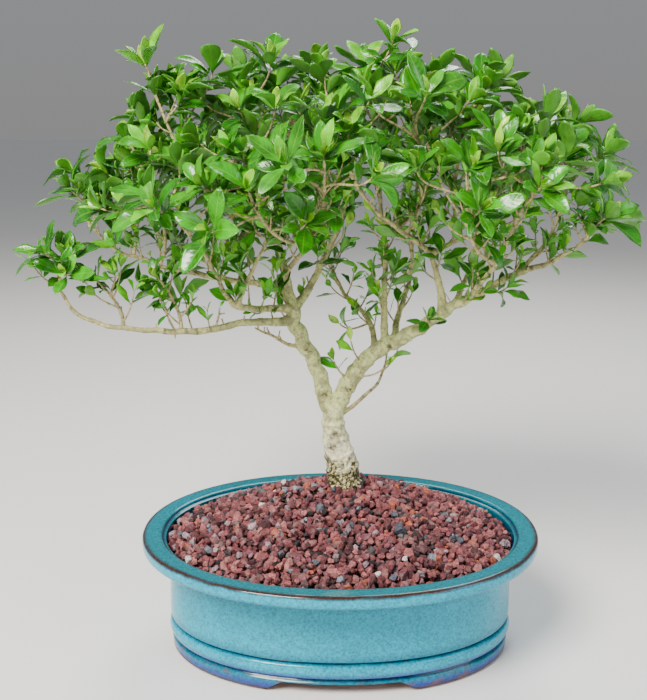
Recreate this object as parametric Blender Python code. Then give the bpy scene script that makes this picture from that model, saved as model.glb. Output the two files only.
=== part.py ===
"""Potted gardenia: a small clipped gardenia on two limbs, in an oval glazed bonsai pot dressed with lava stone.

Units are metres and +Z is up. Everything is laid out about the middle of the pot at table level. The last step
slides the whole plant sideways, so that the origin lies under the middle of its bounding box.

The pieces, from the table up: the fired pot, two drainage screens with their wire clips, the potting soil,
the bed of lava stone, the trunk, the limbs and branches, and the leafy sprays that the branches carry.
"""

import math

import bmesh
import bpy
import numpy as np
from mathutils import Matrix, Vector
from mathutils.bvhtree import BVHTree

GAP = 0.0003  # between pieces that touch
GOLDEN_ANGLE = math.radians(137.5)

# Pot: a 14 inch oval, measured over the rim.
RIM_HALF_LENGTH = 0.178
RIM_HALF_WIDTH = 0.139
OVAL_POWER = 2.08  # a trace blunter than an ellipse
POT_SEGMENTS = 48
FRONT_TUCK = 0.015  # how much further the wall stands in at front and back than at the ends
FLOOR_TOP = 0.018
FLOOR_UNDERSIDE = 0.011
FOOT_RING_WIDTH = 0.016
FOOT_GAP_SOLE = 0.068  # half-width of the opening between the two feet, at the table
FOOT_GAP_TOP = 0.050  # and at its top, so that the feet end in slopes
DRAIN_HOLE_X = 0.062
DRAIN_HOLE_RADIUS = 0.009

# Setback from the rim's edge, share of FRONT_TUCK, height.
POT_OUTSIDE = (
    (0.0270, 1.0, 0.0000),  # sole of the foot
    (0.0242, 1.0, 0.0025),
    (0.0236, 1.0, 0.0112),
    (0.0262, 1.0, 0.0140),  # lower groove
    (0.0230, 1.0, 0.0166),
    (0.0214, 1.0, 0.0218),  # rolled band
    (0.0226, 1.0, 0.0272),
    (0.0256, 1.0, 0.0294),  # upper groove
    (0.0230, 1.0, 0.0318),
    (0.0224, 1.0, 0.0400),
    (0.0232, 1.0, 0.0740),
    (0.0212, 1.0, 0.0840),  # the wall swells out under the rim
    (0.0160, 0.8, 0.0915),
    (0.0075, 0.4, 0.0965),
    (0.0015, 0.0, 0.0990),  # lip
    (0.0000, 0.0, 0.1020),
    (0.0000, 0.0, 0.1070),
    (0.0020, 0.0, 0.1097),
    (0.0050, 0.0, 0.1100),
)
POT_INSIDE = (
    (0.0165, 0.0, 0.1090),  # inner edge of the flat rim
    (0.0180, 0.0, 0.1065),
    (0.0210, 0.0, 0.1055),  # small ledge
    (0.0215, 0.0, 0.1000),
    (0.0310, 1.0, 0.0860),
    (0.0315, 1.0, 0.0300),
    (0.0420, 1.0, FLOOR_TOP),
)

# Drainage screens and the wire clips that hold them down.
SCREEN_SIDE = 0.030
SCREEN_CELLS = 3
SCREEN_THICKNESS = 0.0012
CLIP_WIRE_RADIUS = 0.0008
CLIP_HALF_SPAN = 0.007
CLIP_TURNED_OUT = 0.015

# Soil and stone: a mound whose crest is at the trunk.
CREST = (0.005, 0.042)
MOUND_EDGE = 0.1030
MOUND_RISE = 0.0350
MOUND_POWER = 1.7
STONE_DEPTH_EDGE = 0.010
STONE_DEPTH_CREST = 0.016
STONE_BUMP = 0.0012

# Wood. A route is a list of (x, y, z, radius).
TRUNK = (
    (0.007, 0.041, 0.078, 0.021),
    (0.007, 0.041, 0.100, 0.0205),
    (0.006, 0.040, 0.120, 0.0180),
    (0.005, 0.040, 0.140, 0.0160),
    (0.003, 0.040, 0.154, 0.0138),
    (-0.001, 0.040, 0.168, 0.0122),
    (-0.005, 0.040, 0.186, 0.0114),
    (-0.006, 0.040, 0.198, 0.0096),
    (-0.005, 0.040, 0.208, 0.0104),
    (-0.004, 0.040, 0.214, 0.0085),
)
TRUNK_SIDES = 14
ROOT_LOBES = 5
ROOT_FLARE = 0.30  # depth of the lobes at the buried foot of the trunk
ROOT_FLARE_TOP = 0.135

# Name, sides of its tube, route. A route starts inside the wood that the limb grows from.
LIMBS = (
    ("left_limb", 10, (
        (-0.008, 0.040, 0.203, 0.0070), (-0.013, 0.040, 0.218, 0.0076), (-0.018, 0.040, 0.238, 0.0070),
        (-0.026, 0.040, 0.259, 0.0066), (-0.036, 0.040, 0.278, 0.0062), (-0.042, 0.040, 0.294, 0.0058),
        (-0.043, 0.040, 0.309, 0.0046))),
    ("right_limb", 10, (
        (-0.003, 0.040, 0.203, 0.0074), (0.004, 0.040, 0.226, 0.0080), (0.015, 0.040, 0.244, 0.0078),
        (0.027, 0.040, 0.258, 0.0074), (0.042, 0.037, 0.270, 0.0068), (0.058, 0.031, 0.279, 0.0060),
        (0.081, 0.020, 0.296, 0.0050), (0.103, 0.012, 0.313, 0.0042), (0.126, 0.006, 0.326, 0.0034),
        (0.151, 0.000, 0.341, 0.0027), (0.177, -0.005, 0.351, 0.0020), (0.198, -0.010, 0.365, 0.0015))),
    ("low_left_branch", 8, (
        (-0.042, 0.040, 0.294, 0.0036), (-0.054, 0.030, 0.293, 0.0036), (-0.086, 0.010, 0.296, 0.0031),
        (-0.112, -0.005, 0.293, 0.0028), (-0.139, -0.018, 0.294, 0.0025), (-0.187, -0.030, 0.300, 0.0020),
        (-0.208, -0.035, 0.307, 0.0017), (-0.222, -0.036, 0.316, 0.0015), (-0.231, -0.036, 0.332, 0.0012))),
    ("far_left_branch", 8, (
        (-0.043, 0.041, 0.304, 0.0036), (-0.053, 0.054, 0.318, 0.0034), (-0.076, 0.061, 0.323, 0.0030),
        (-0.101, 0.067, 0.325, 0.0027), (-0.134, 0.069, 0.331, 0.0023), (-0.162, 0.063, 0.337, 0.0020),
        (-0.180, 0.059, 0.346, 0.0018), (-0.201, 0.051, 0.354, 0.0015), (-0.221, 0.040, 0.377, 0.0012))),
    ("front_left_branch", 8, (
        (-0.043, 0.040, 0.302, 0.0034), (-0.053, 0.027, 0.306, 0.0032), (-0.068, 0.012, 0.308, 0.0029),
        (-0.087, -0.006, 0.313, 0.0025), (-0.095, -0.012, 0.320, 0.0021), (-0.101, -0.020, 0.334, 0.0018),
        (-0.107, -0.026, 0.350, 0.0013))),
    ("inner_left_branch", 6, (
        (-0.087, -0.006, 0.313, 0.0021), (-0.086, -0.009, 0.322, 0.0021), (-0.076, -0.012, 0.343, 0.0017),
        (-0.064, -0.014, 0.367, 0.0012))),
    ("up_left_branch", 8, (
        (-0.043, 0.040, 0.305, 0.0036), (-0.047, 0.039, 0.325, 0.0033), (-0.051, 0.038, 0.346, 0.0027),
        (-0.055, 0.036, 0.366, 0.0022), (-0.062, 0.034, 0.398, 0.0015))),
    ("up_centre_branch", 8, (
        (-0.042, 0.041, 0.303, 0.0034), (-0.029, 0.049, 0.319, 0.0032), (-0.012, 0.059, 0.351, 0.0025),
        (0.001, 0.067, 0.378, 0.0019), (0.009, 0.073, 0.408, 0.0013))),
    ("left_stub", 6, (
        (-0.031, 0.040, 0.268, 0.0017), (-0.046, 0.038, 0.270, 0.0016), (-0.061, 0.030, 0.280, 0.0013),
        (-0.076, 0.021, 0.289, 0.0009))),
    ("up_mid_branch", 8, (
        (0.041, 0.038, 0.269, 0.0030), (0.040, 0.040, 0.299, 0.0030), (0.040, 0.040, 0.327, 0.0026),
        (0.041, 0.041, 0.355, 0.0022), (0.037, 0.041, 0.386, 0.0018), (0.034, 0.041, 0.412, 0.0013))),
    ("back_right_branch", 8, (
        (0.050, 0.034, 0.275, 0.0028), (0.053, 0.060, 0.287, 0.0028), (0.060, 0.079, 0.302, 0.0025),
        (0.068, 0.093, 0.326, 0.0020), (0.071, 0.106, 0.366, 0.0013))),
    ("mid_back_branch", 6, (
        (0.033, 0.039, 0.263, 0.0026), (0.029, 0.061, 0.284, 0.0025), (0.017, 0.075, 0.300, 0.0021),
        (0.003, 0.086, 0.312, 0.0018), (-0.010, 0.098, 0.340, 0.0012))),
    ("back_left_branch", 6, (
        (-0.090, 0.065, 0.324, 0.0022), (-0.094, 0.084, 0.333, 0.0021), (-0.106, 0.108, 0.352, 0.0016),
        (-0.114, 0.124, 0.376, 0.0012))),
    ("up_right_branch", 8, (
        (0.090, 0.016, 0.303, 0.0032), (0.089, 0.018, 0.318, 0.0031), (0.084, 0.017, 0.338, 0.0027),
        (0.076, 0.010, 0.358, 0.0022), (0.053, 0.000, 0.376, 0.0019), (0.032, -0.010, 0.392, 0.0016),
        (0.018, -0.019, 0.408, 0.0012))),
    ("inner_right_branch", 6, (
        (0.077, 0.011, 0.355, 0.0019), (0.094, 0.007, 0.366, 0.0018), (0.112, 0.002, 0.374, 0.0015),
        (0.134, -0.003, 0.386, 0.0012))),
    ("front_right_branch", 6, (
        (0.112, 0.009, 0.318, 0.0022), (0.118, -0.010, 0.334, 0.0021), (0.128, -0.034, 0.356, 0.0016),
        (0.134, -0.054, 0.382, 0.0012))),
    ("far_right_branch", 6, (
        (0.100, 0.013, 0.311, 0.0024), (0.110, 0.038, 0.324, 0.0023), (0.126, 0.072, 0.345, 0.0018),
        (0.140, 0.098, 0.374, 0.0012))),
    ("right_fork_branch", 6, (
        (0.151, 0.000, 0.341, 0.0018), (0.164, 0.004, 0.354, 0.0018), (0.178, 0.006, 0.370, 0.0015),
        (0.188, 0.006, 0.398, 0.0011))),
    ("front_centre_branch", 6, (
        (-0.049, 0.038, 0.336, 0.0021), (-0.041, 0.019, 0.348, 0.0021), (-0.028, -0.010, 0.366, 0.0016),
        (-0.018, -0.044, 0.388, 0.0012))),
    ("trunk_shoot", 6, (
        (-0.005, 0.040, 0.199, 0.0018), (0.012, 0.040, 0.211, 0.0018), (0.024, 0.041, 0.222, 0.0016),
        (0.035, 0.046, 0.231, 0.0014), (0.042, 0.053, 0.246, 0.0012), (0.045, 0.059, 0.262, 0.0009))),
)

# Name, branch, share of the way along it, middle of the spray, tufts of leaves, spread of the tufts.
SPRAYS = (
    ("low_left_tip", "low_left_branch", 1.00, (-0.219, -0.037, 0.350), 4, 0.015),
    ("low_left_outer", "low_left_branch", 0.72, (-0.192, -0.033, 0.334), 2, 0.016),
    ("low_left_middle", "low_left_branch", 0.50, (-0.142, -0.024, 0.332), 2, 0.015),
    ("far_left_tip", "far_left_branch", 1.00, (-0.214, 0.042, 0.391), 4, 0.018),
    ("far_left_outer", "far_left_branch", 0.78, (-0.186, 0.064, 0.408), 6, 0.038),
    ("far_left_middle", "far_left_branch", 0.56, (-0.144, 0.095, 0.412), 6, 0.042),
    ("high_left", "far_left_branch", 0.66, (-0.164, 0.012, 0.430), 6, 0.040),
    ("back_left_tip", "back_left_branch", 1.00, (-0.118, 0.142, 0.426), 6, 0.042),
    ("back_left_inner", "back_left_branch", 0.60, (-0.062, 0.130, 0.424), 6, 0.044),
    ("front_left_tip", "front_left_branch", 1.00, (-0.136, -0.050, 0.394), 6, 0.038),
    ("inner_left_tip", "inner_left_branch", 1.00, (-0.078, -0.036, 0.420), 6, 0.044),
    ("up_left_tip", "up_left_branch", 1.00, (-0.080, 0.030, 0.470), 7, 0.042),
    ("up_left_outer", "up_left_branch", 0.70, (-0.130, 0.040, 0.472), 6, 0.040),
    ("top_left_shoot", "up_left_branch", 0.86, (-0.158, 0.022, 0.500), 3, 0.020),
    ("up_centre_tip", "up_centre_branch", 1.00, (-0.004, 0.092, 0.464), 7, 0.044),
    ("up_centre_left", "up_centre_branch", 0.72, (-0.044, 0.070, 0.480), 6, 0.040),
    ("mid_back_tip", "mid_back_branch", 1.00, (-0.016, 0.142, 0.410), 6, 0.044),
    ("up_mid_tip", "up_mid_branch", 1.00, (0.022, 0.039, 0.487), 7, 0.041),
    ("up_mid_right", "up_mid_branch", 0.72, (0.072, 0.052, 0.478), 6, 0.042),
    ("back_right_tip", "back_right_branch", 1.00, (0.072, 0.124, 0.430), 6, 0.044),
    ("up_right_tip", "up_right_branch", 1.00, (-0.006, -0.034, 0.448), 6, 0.042),
    ("up_right_middle", "up_right_branch", 0.62, (0.048, -0.030, 0.456), 6, 0.042),
    ("inner_right_tip", "inner_right_branch", 1.00, (0.136, -0.012, 0.436), 6, 0.040),
    ("inner_right_high", "inner_right_branch", 0.45, (0.108, 0.020, 0.476), 6, 0.040),
    ("right_fork_tip", "right_fork_branch", 1.00, (0.180, 0.010, 0.418), 6, 0.034),
    ("right_tip", "right_limb", 1.00, (0.204, -0.012, 0.376), 4, 0.021),
    ("front_right_tip", "front_right_branch", 1.00, (0.138, -0.074, 0.412), 6, 0.040),
    ("front_right_inner", "front_right_branch", 0.60, (0.086, -0.068, 0.410), 6, 0.042),
    ("far_right_tip", "far_right_branch", 1.00, (0.140, 0.120, 0.424), 6, 0.042),
    ("far_right_high", "far_right_branch", 0.66, (0.152, 0.066, 0.452), 6, 0.040),
    ("front_centre_tip", "front_centre_branch", 1.00, (-0.014, -0.088, 0.418), 6, 0.042),
    ("front_centre_left", "front_centre_branch", 0.62, (-0.064, -0.074, 0.396), 5, 0.040),
)
CANOPY_CORE = Vector((-0.01, 0.03, 0.33))
SPRAY_SEED = 7
SPRAY_LIFT = 0.0005  # the foot of a spray stands this far off the bark
STEM_RADIUS = 0.0011
TWIG_RADIUS = 0.0009
NODE_LENGTH = 0.0026  # length of the swelling that carries twigs or leaves
LEAF_LENGTH = (0.029, 0.042)
LEAF_WIDTH = 0.42  # share of its length
LEAF_THICKNESS = 0.0008
LEAF_CLEARANCE = 0.0008


# ---------------------------------------------------------------- helpers


def clear_scene():
    for thing in list(bpy.data.objects):
        bpy.data.objects.remove(thing)


def srgb(code):
    """A hex colour such as '2fb4c4' as linear RGBA."""
    channels = [int(code[i:i + 2], 16) / 255 for i in (0, 2, 4)]
    return [c / 12.92 if c <= 0.04045 else ((c + 0.055) / 1.055) ** 2.4 for c in channels] + [1.0]


def material(name, code, roughness, metallic=0.0):
    made = bpy.data.materials.new(name)
    made.use_nodes = True
    shader = made.node_tree.nodes["Principled BSDF"]
    shader.inputs["Base Color"].default_value = srgb(code)
    shader.inputs["Roughness"].default_value = roughness
    shader.inputs["Metallic"].default_value = metallic
    return made


def place(name, data, finish):
    thing = bpy.data.objects.new(name, data)
    bpy.context.scene.collection.objects.link(thing)
    if finish:
        data.materials.append(finish)
    return thing


def mesh_object(name, points, faces, finish=None, sharp_above=math.radians(40)):
    mesh = bpy.data.meshes.new(name)
    mesh.from_pydata([tuple(map(float, p)) for p in points], [], [tuple(map(int, f)) for f in faces])
    made = bmesh.new()
    made.from_mesh(mesh)
    bmesh.ops.recalc_face_normals(made, faces=made.faces)
    made.to_mesh(mesh)
    made.free()
    mesh.shade_smooth()
    mesh.set_sharp_from_angle(angle=sharp_above)
    return place(name, mesh, finish)


def cutter(thing):
    thing.hide_render = True
    thing.display_type = "WIRE"
    return thing


def cut(thing, *cutters):
    """Takes each cutter away from the object."""
    for tool in cutters:
        boolean = thing.modifiers.new(f"fit_{tool.name}", "BOOLEAN")
        boolean.operation = "DIFFERENCE"
        boolean.solver = "EXACT"
        boolean.object = tool
    return thing


def loft(rings):
    """Points and faces of a closed solid that passes through rings of equal length, with a flat cap at each end."""
    count = len(rings[0])
    points = np.concatenate(rings)
    faces = []
    for k in range(len(rings) - 1):
        for i in range(count):
            j = (i + 1) % count
            faces.append((k * count + i, k * count + j, (k + 1) * count + j, (k + 1) * count + i))
    faces.append(tuple(range(count))[::-1])
    faces.append(tuple(range(len(points) - count, len(points))))
    return points, faces


def smooth_route(route, spacing):
    """Catmull-Rom curve through a route's points and radii, with about one row for each spacing of its length."""
    knots = np.array(route, float)
    ends = np.vstack([2 * knots[0] - knots[1], knots, 2 * knots[-1] - knots[-2]])
    rows = []
    for k in range(len(knots) - 1):
        a, b, c, d = ends[k:k + 4]
        steps = max(1, round(np.linalg.norm((c - b)[:3]) / spacing))
        for t in np.arange(steps) / steps:
            rows.append(0.5 * (2 * b + (c - a) * t + (2 * a - 5 * b + 4 * c - d) * t ** 2
                               + (3 * b - a - 3 * c + d) * t ** 3))
    rows.append(knots[-1])
    return np.array(rows)


def tube(rows, sides, swell=None):
    """Points and faces of a tube along rows of (x, y, z, radius). The rings keep one heading, so they don't twist."""
    centres, radii = rows[:, :3], rows[:, 3]
    along = np.gradient(centres, axis=0)
    along /= np.linalg.norm(along, axis=1, keepdims=True)
    across = np.cross(along[0], (0.0, 1.0, 0.0))
    turn = np.arange(sides) * 2 * math.pi / sides
    rings = []
    for centre, radius, forward in zip(centres, radii, along):
        across = across - forward * (across @ forward)
        across /= np.linalg.norm(across)
        other = np.cross(forward, across)
        reach = radius * (swell(turn, centre[2]) if swell else np.ones(sides))
        rings.append(centre + reach[:, None] * (np.cos(turn)[:, None] * across + np.sin(turn)[:, None] * other))
    return loft(rings)


# ---------------------------------------------------------------- pot


def oval(setback, tuck, count=POT_SEGMENTS, share=1.0, centre=(0.0, 0.0)):
    """Superellipse that stands in from the rim's edge: |x / a| ** p + |y / b| ** p = 1."""
    a = RIM_HALF_LENGTH - setback
    b = RIM_HALF_WIDTH - setback - tuck * FRONT_TUCK
    turn = np.arange(count) * 2 * math.pi / count
    c, s = np.cos(turn), np.sin(turn)
    edge = np.stack([a * np.sign(c) * np.abs(c) ** (2 / OVAL_POWER),
                     b * np.sign(s) * np.abs(s) ** (2 / OVAL_POWER)], axis=1)
    middle = np.array(centre)
    return middle + share * (edge - middle)


def level(plan, height):
    return np.column_stack([plan, np.broadcast_to(height, len(plan))])


def inside_of_pot(height, clearance):
    """Setback and tuck of the pot's inner face at a height, moved inwards by a clearance."""
    rows = np.array(POT_INSIDE[::-1])
    setback = np.interp(height, rows[:, 2], rows[:, 0])
    tuck = np.interp(height, rows[:, 2], rows[:, 1])
    return setback + clearance, tuck


def cylinder(name, radius, low, high, centres, sides=24):
    made = bmesh.new()
    for x, y in centres:
        bmesh.ops.create_cone(made, cap_ends=True, segments=sides, radius1=radius, radius2=radius,
                              depth=high - low, matrix=Matrix.Translation((x, y, (low + high) / 2)))
    mesh = bpy.data.meshes.new(name)
    made.to_mesh(mesh)
    made.free()
    return place(name, mesh, None)


def drain_centres():
    return [(-DRAIN_HOLE_X, 0.0), (DRAIN_HOLE_X, 0.0)]


def make_pot(finish):
    rings = [level(oval(setback, tuck), z) for setback, tuck, z in POT_OUTSIDE + POT_INSIDE]
    pot = mesh_object("pot", *loft(rings), finish)
    below = -0.002
    sole_setback, sole_tuck, _ = POT_OUTSIDE[0]
    recess_plan = oval(sole_setback + FOOT_RING_WIDTH, sole_tuck, 40)
    recess = mesh_object("cut_underside", *loft([level(recess_plan, below), level(recess_plan, FLOOR_UNDERSIDE)]))
    slope = (FOOT_GAP_SOLE - FOOT_GAP_TOP) / FLOOR_UNDERSIDE
    low_half, high_half = FOOT_GAP_SOLE - slope * below, FOOT_GAP_TOP
    gap_rings = [np.array([(-low_half, y, below), (low_half, y, below),
                           (high_half, y, FLOOR_UNDERSIDE), (-high_half, y, FLOOR_UNDERSIDE)])
                 for y in (-RIM_HALF_WIDTH, RIM_HALF_WIDTH)]
    foot_gap = mesh_object("cut_between_feet", *loft(gap_rings))
    holes = cylinder("cut_drain_holes", DRAIN_HOLE_RADIUS, 0.005, FLOOR_TOP + 0.004, drain_centres())
    return cut(pot, cutter(recess), cutter(foot_gap), cutter(holes))


def make_screen(name, x, y, finish):
    """A square of plastic mesh that lies on the pot's floor over a drainage hole."""
    made = bmesh.new()
    bmesh.ops.create_grid(made, x_segments=SCREEN_CELLS, y_segments=SCREEN_CELLS, size=SCREEN_SIDE / 2)
    mesh = bpy.data.meshes.new(name)
    made.to_mesh(mesh)
    made.free()
    mesh.transform(Matrix.Translation((x, y, FLOOR_TOP + GAP + SCREEN_THICKNESS / 2)))
    screen = place(name, mesh, finish)
    lattice = screen.modifiers.new("lattice", "WIREFRAME")
    lattice.thickness = SCREEN_THICKNESS
    lattice.use_even_offset = False
    lattice.use_boundary = True
    return screen


def make_clip(name, x, y, finish):
    """A wire staple: over the screen, down through the hole, and turned out under the floor."""
    top = FLOOR_TOP + 2 * GAP + SCREEN_THICKNESS + CLIP_WIRE_RADIUS
    under = FLOOR_UNDERSIDE - GAP - CLIP_WIRE_RADIUS
    ease = 0.0012
    half = [(CLIP_TURNED_OUT, under), (CLIP_HALF_SPAN + ease, under), (CLIP_HALF_SPAN, under + ease),
            (CLIP_HALF_SPAN, top - ease), (CLIP_HALF_SPAN - ease, top)]
    path = [(-dx, z) for dx, z in half] + [(dx, z) for dx, z in half[::-1]]
    curve = bpy.data.curves.new(name, "CURVE")
    curve.dimensions = "3D"
    curve.bevel_depth = CLIP_WIRE_RADIUS
    curve.bevel_resolution = 1
    curve.use_fill_caps = True
    line = curve.splines.new("POLY")
    line.points.add(len(path) - 1)
    for point, (dx, z) in zip(line.points, path):
        # Each wire crosses beside the middle of a mesh cell, clear of the bars.
        point.co = (x + dx, y, z, 1)
    return place(name, curve, finish)


# ---------------------------------------------------------------- soil and stone


def mound(count, share, drop_edge=0.0, drop_crest=0.0, clearance=0.0006):
    """One ring of the mound, a share of the way from its crest to the pot's wall, lowered by an amount."""
    edge_height = MOUND_EDGE - drop_edge
    setback, tuck = inside_of_pot(edge_height, clearance)
    plan = oval(setback, tuck, count, share, CREST)
    drop = drop_crest + (drop_edge - drop_crest) * share
    return level(plan, MOUND_EDGE + MOUND_RISE * (1 - share ** MOUND_POWER) - drop)


def make_stone_bed(finish, *cutters):
    """The dressing of loose lava stone, as one bed with a lumpy top."""
    count = POT_SEGMENTS
    under = [mound(count, share, STONE_DEPTH_EDGE, STONE_DEPTH_CREST) for share in (0.06, 0.5, 1.0)]
    shares = (1.0, 0.92, 0.80, 0.66, 0.52, 0.38, 0.24, 0.10)
    top = [mound(count, share) for share in shares]
    bumps = np.random.default_rng(SPRAY_SEED)
    for ring in top[1:]:
        ring[:, 2] += bumps.uniform(-STONE_BUMP, STONE_BUMP, count)
    return cut(mesh_object("lava_stone_bed", *loft(under + top), finish), *cutters)


def make_soil(finish, *cutters):
    """The potting soil that fills the pot from its floor up to the stone."""
    count = POT_SEGMENTS // 2
    heights = (FLOOR_TOP + GAP, 0.030, 0.086)
    rings = []
    for height in heights:
        setback, tuck = inside_of_pot(height, 0.0006)
        rings.append(level(oval(setback, tuck, count), height))
    edge, crest = STONE_DEPTH_EDGE + GAP, STONE_DEPTH_CREST + GAP
    rings += [mound(count, share, edge, crest) for share in (1.0, 0.5, 0.06)]
    return cut(mesh_object("potting_soil", *loft(rings), finish), *cutters)


def screen_pockets():
    """The space that each screen and its clip take out of the soil."""
    made = bmesh.new()
    side, height = SCREEN_SIDE + 0.003, 0.0045
    for x, y in drain_centres():
        middle = Vector((x, y, FLOOR_TOP + height / 2 - 0.001))
        bmesh.ops.create_cube(made, size=1, matrix=Matrix.LocRotScale(middle, None, Vector((side, side, height))))
    mesh = bpy.data.meshes.new("cut_screen_pockets")
    made.to_mesh(mesh)
    made.free()
    return cutter(place("cut_screen_pockets", mesh, None))


# ---------------------------------------------------------------- wood


def root_swell(turn, height):
    """Radius factors of the trunk around a ring: lobes where the roots leave it, fading out above the stone."""
    fade = np.clip((ROOT_FLARE_TOP - height) / (ROOT_FLARE_TOP - TRUNK[0][2]), 0, 1)
    return 1 + ROOT_FLARE * fade * (0.5 + 0.5 * np.cos(ROOT_LOBES * turn + 0.6))


def make_wood(trunk_finish, limb_finish):
    """The trunk and every limb. Each foot is cut to the wood that it grows from. Returns the routes and the cutters."""
    routes, bark = {}, {}
    table = (("trunk", TRUNK_SIDES, TRUNK),) + LIMBS
    for name, sides, route in table:
        finish, swell, spacing = (limb_finish, None, 0.017) if routes else (trunk_finish, root_swell, 0.010)
        rows = smooth_route(route, spacing)
        points, faces = tube(rows, sides, swell)
        limb = mesh_object(name, points, faces, finish)
        shape = surface(points, faces)
        cut(limb, *(tool for tool in bark.values() if surface_of(tool).overlap(shape)))
        bark[name] = cutter(mesh_object(f"cut_{name}", *tube(grown(rows), sides, swell)))
        routes[name] = rows
    return routes, bark


def grown(rows):
    """The same route with its radii larger by the gap, and its ends longer by it."""
    wider = rows.copy()
    wider[:, 3] += 1.5 * GAP
    for end, inner in ((0, 1), (-1, -2)):
        step = wider[end, :3] - wider[inner, :3]
        wider[end, :3] += step / np.linalg.norm(step) * GAP
    return wider


# ---------------------------------------------------------------- leafy sprays


def unit(v):
    return v / np.linalg.norm(v)


def sideways(v, axis):
    return unit(v - axis * (v @ axis))


def point_on(rows, share):
    """Point, direction and radius of a route at a share of its length."""
    steps = np.linalg.norm(np.diff(rows[:, :3], axis=0), axis=1)
    reach = np.concatenate([[0], np.cumsum(steps)]) / steps.sum()
    row = np.array([np.interp(share, reach, rows[:, k]) for k in range(4)])
    k = min(int(np.searchsorted(reach, share, side="right")) - 1, len(steps) - 1)
    return row[:3], unit(rows[k + 1, :3] - rows[k, :3]), row[3]


def spray_plan(index, routes):
    """Where a spray's stem runs, and each tuft on it: its place on the stem, its tip, its axis, its roll, its leaves.

    The stem leaves the branch squarely, or goes on from the branch's tip, and bends over to the spray's middle.
    Tufts follow each other round the stem by the golden angle. A leaf is (angle from the tuft's axis, angle round
    it, length)."""
    _, branch, share, middle, tufts, spread = SPRAYS[index]
    rng = np.random.default_rng([SPRAY_SEED, index])
    middle = np.array(middle)
    root, along, radius = point_on(routes[branch], share)
    if share < 1:
        leaving = sideways(middle - root, along)
        foot = root + leaving * (radius + SPRAY_LIFT)
    else:
        leaving = along
        foot = root + leaving * SPRAY_LIFT
    length = np.linalg.norm(middle - foot)
    bend = foot + leaving * length * 0.42
    out = unit(middle - np.array(CANOPY_CORE))
    up = np.array((0.0, 0.0, 1.0))
    end = middle + unit(out + 0.6 * up) * spread * 0.55

    def stem(t):
        return (1 - t) ** 2 * foot + 2 * t * (1 - t) * bend + t * t * end

    lead = unit(end - bend)
    side = sideways(np.array((0.3, 1.0, 0.2)), lead)
    other = np.cross(lead, side)
    phase = rng.uniform(0, 2 * math.pi)
    plan = []
    for k in range(tufts):
        jitter = rng.uniform(-1, 1, 6)
        lengths = rng.uniform(*LEAF_LENGTH, 5)
        tilts = rng.uniform(-0.14, 0.14, 5)
        roll = rng.uniform(0, 2 * math.pi)
        if k == tufts - 1:
            at, tip, axis = 1.0, None, unit(lead + 0.5 * out + 0.5 * up)
        else:
            at = 0.50 + 0.44 * (k + 0.5) / (tufts - 1)
            turn = phase + k * GOLDEN_ANGLE
            away = math.cos(turn) * side + math.sin(turn) * other
            heading = unit(away + 0.35 * lead + 0.25 * up + 0.18 * jitter[:3])
            tip = stem(at) + heading * spread * (1 + 0.18 * jitter[3]) + up * spread * 0.15
            axis = unit(heading + 0.8 * out + 0.7 * up + 0.2 * jitter[3:])
        leaves = [(math.radians(76) + tilts[0], 0.0, lengths[0]), (math.radians(76) + tilts[1], 1.0, lengths[1]),
                  (math.radians(52) + tilts[2], 0.5, lengths[2] * 0.92)]
        plan.append((at, tip, axis, roll, [(a, roll + b * math.pi, size) for a, b, size in leaves]))
    return stem, plan


def leaf_frame(axis, angle, turn):
    """Direction, width direction and upper normal of a leaf that leaves a tuft's axis at an angle."""
    first = sideways(np.array((0.35, -0.25, 1.0)) if abs(axis[2]) < 0.9 else np.array((1.0, 0.2, 0.1)), axis)
    second = np.cross(axis, first)
    away = math.cos(turn) * first + math.sin(turn) * second
    along = unit(math.cos(angle) * axis + math.sin(angle) * away)
    wide = unit(np.cross(axis, along))
    return along, wide, np.cross(along, wide)


class Growth:
    """A closed body grown from a square stick by extruding its faces."""

    def __init__(self, foot, direction, radius):
        self.mesh = bmesh.new()
        first = sideways(np.array((0.0, 1.0, 0.3)), direction)
        second = np.cross(direction, first)
        around = [radius * p for p in (first, second, -first, -second)]
        low = [self.mesh.verts.new(foot + p) for p in around]
        high = [self.mesh.verts.new(foot + direction * 2 * radius + p) for p in around]
        self.mesh.faces.new(low[::-1])
        for i in range(4):
            self.mesh.faces.new((low[i], low[(i + 1) % 4], high[(i + 1) % 4], high[i]))
        self.tip = self.mesh.faces.new(high)

    def extrude(self, face, ring_points):
        """Moves a face's four corners' copies to new points. Returns the end face and the four side faces."""
        old = list(face.verts)
        new = [self.mesh.verts.new(p) for p in ring_points]
        self.mesh.faces.remove(face)
        sides = [self.mesh.faces.new((old[i], old[(i + 1) % 4], new[(i + 1) % 4], new[i])) for i in range(4)]
        return self.mesh.faces.new(new), sides

    def square(self, face, centre, direction, radius):
        """Extrudes a face to a square ring about a centre, without twisting it."""
        corners = [np.array(v.co) for v in face.verts]
        start = sideways(corners[0] - sum(corners) / 4, direction)
        other = np.cross(direction, start)
        return self.extrude(face, [centre + radius * p for p in (start, other, -start, -other)])

    def leaf(self, face, base, along, wide, normal, length):
        """A flat leaf: one ring at its widest point, and a tip."""
        corners = [np.array(v.co) for v in face.verts]
        first = corners[0] - sum(corners) / 4
        shift = math.floor(math.atan2(first @ normal, first @ wide) / (math.pi / 2))
        middle = base + along * length * 0.52 + normal * length * 0.06
        half, thin = wide * length * LEAF_WIDTH / 2, normal * LEAF_THICKNESS / 2
        around = (half + thin, thin - half, -half - thin, half - thin)
        end, _ = self.extrude(face, [middle + around[(k + shift) % 4] for k in range(4)])
        ring = list(end.verts)
        self.mesh.faces.remove(end)
        tip = self.mesh.verts.new(base + along * length)
        for i in range(4):
            self.mesh.faces.new((ring[i], ring[(i + 1) % 4], tip))


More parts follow.
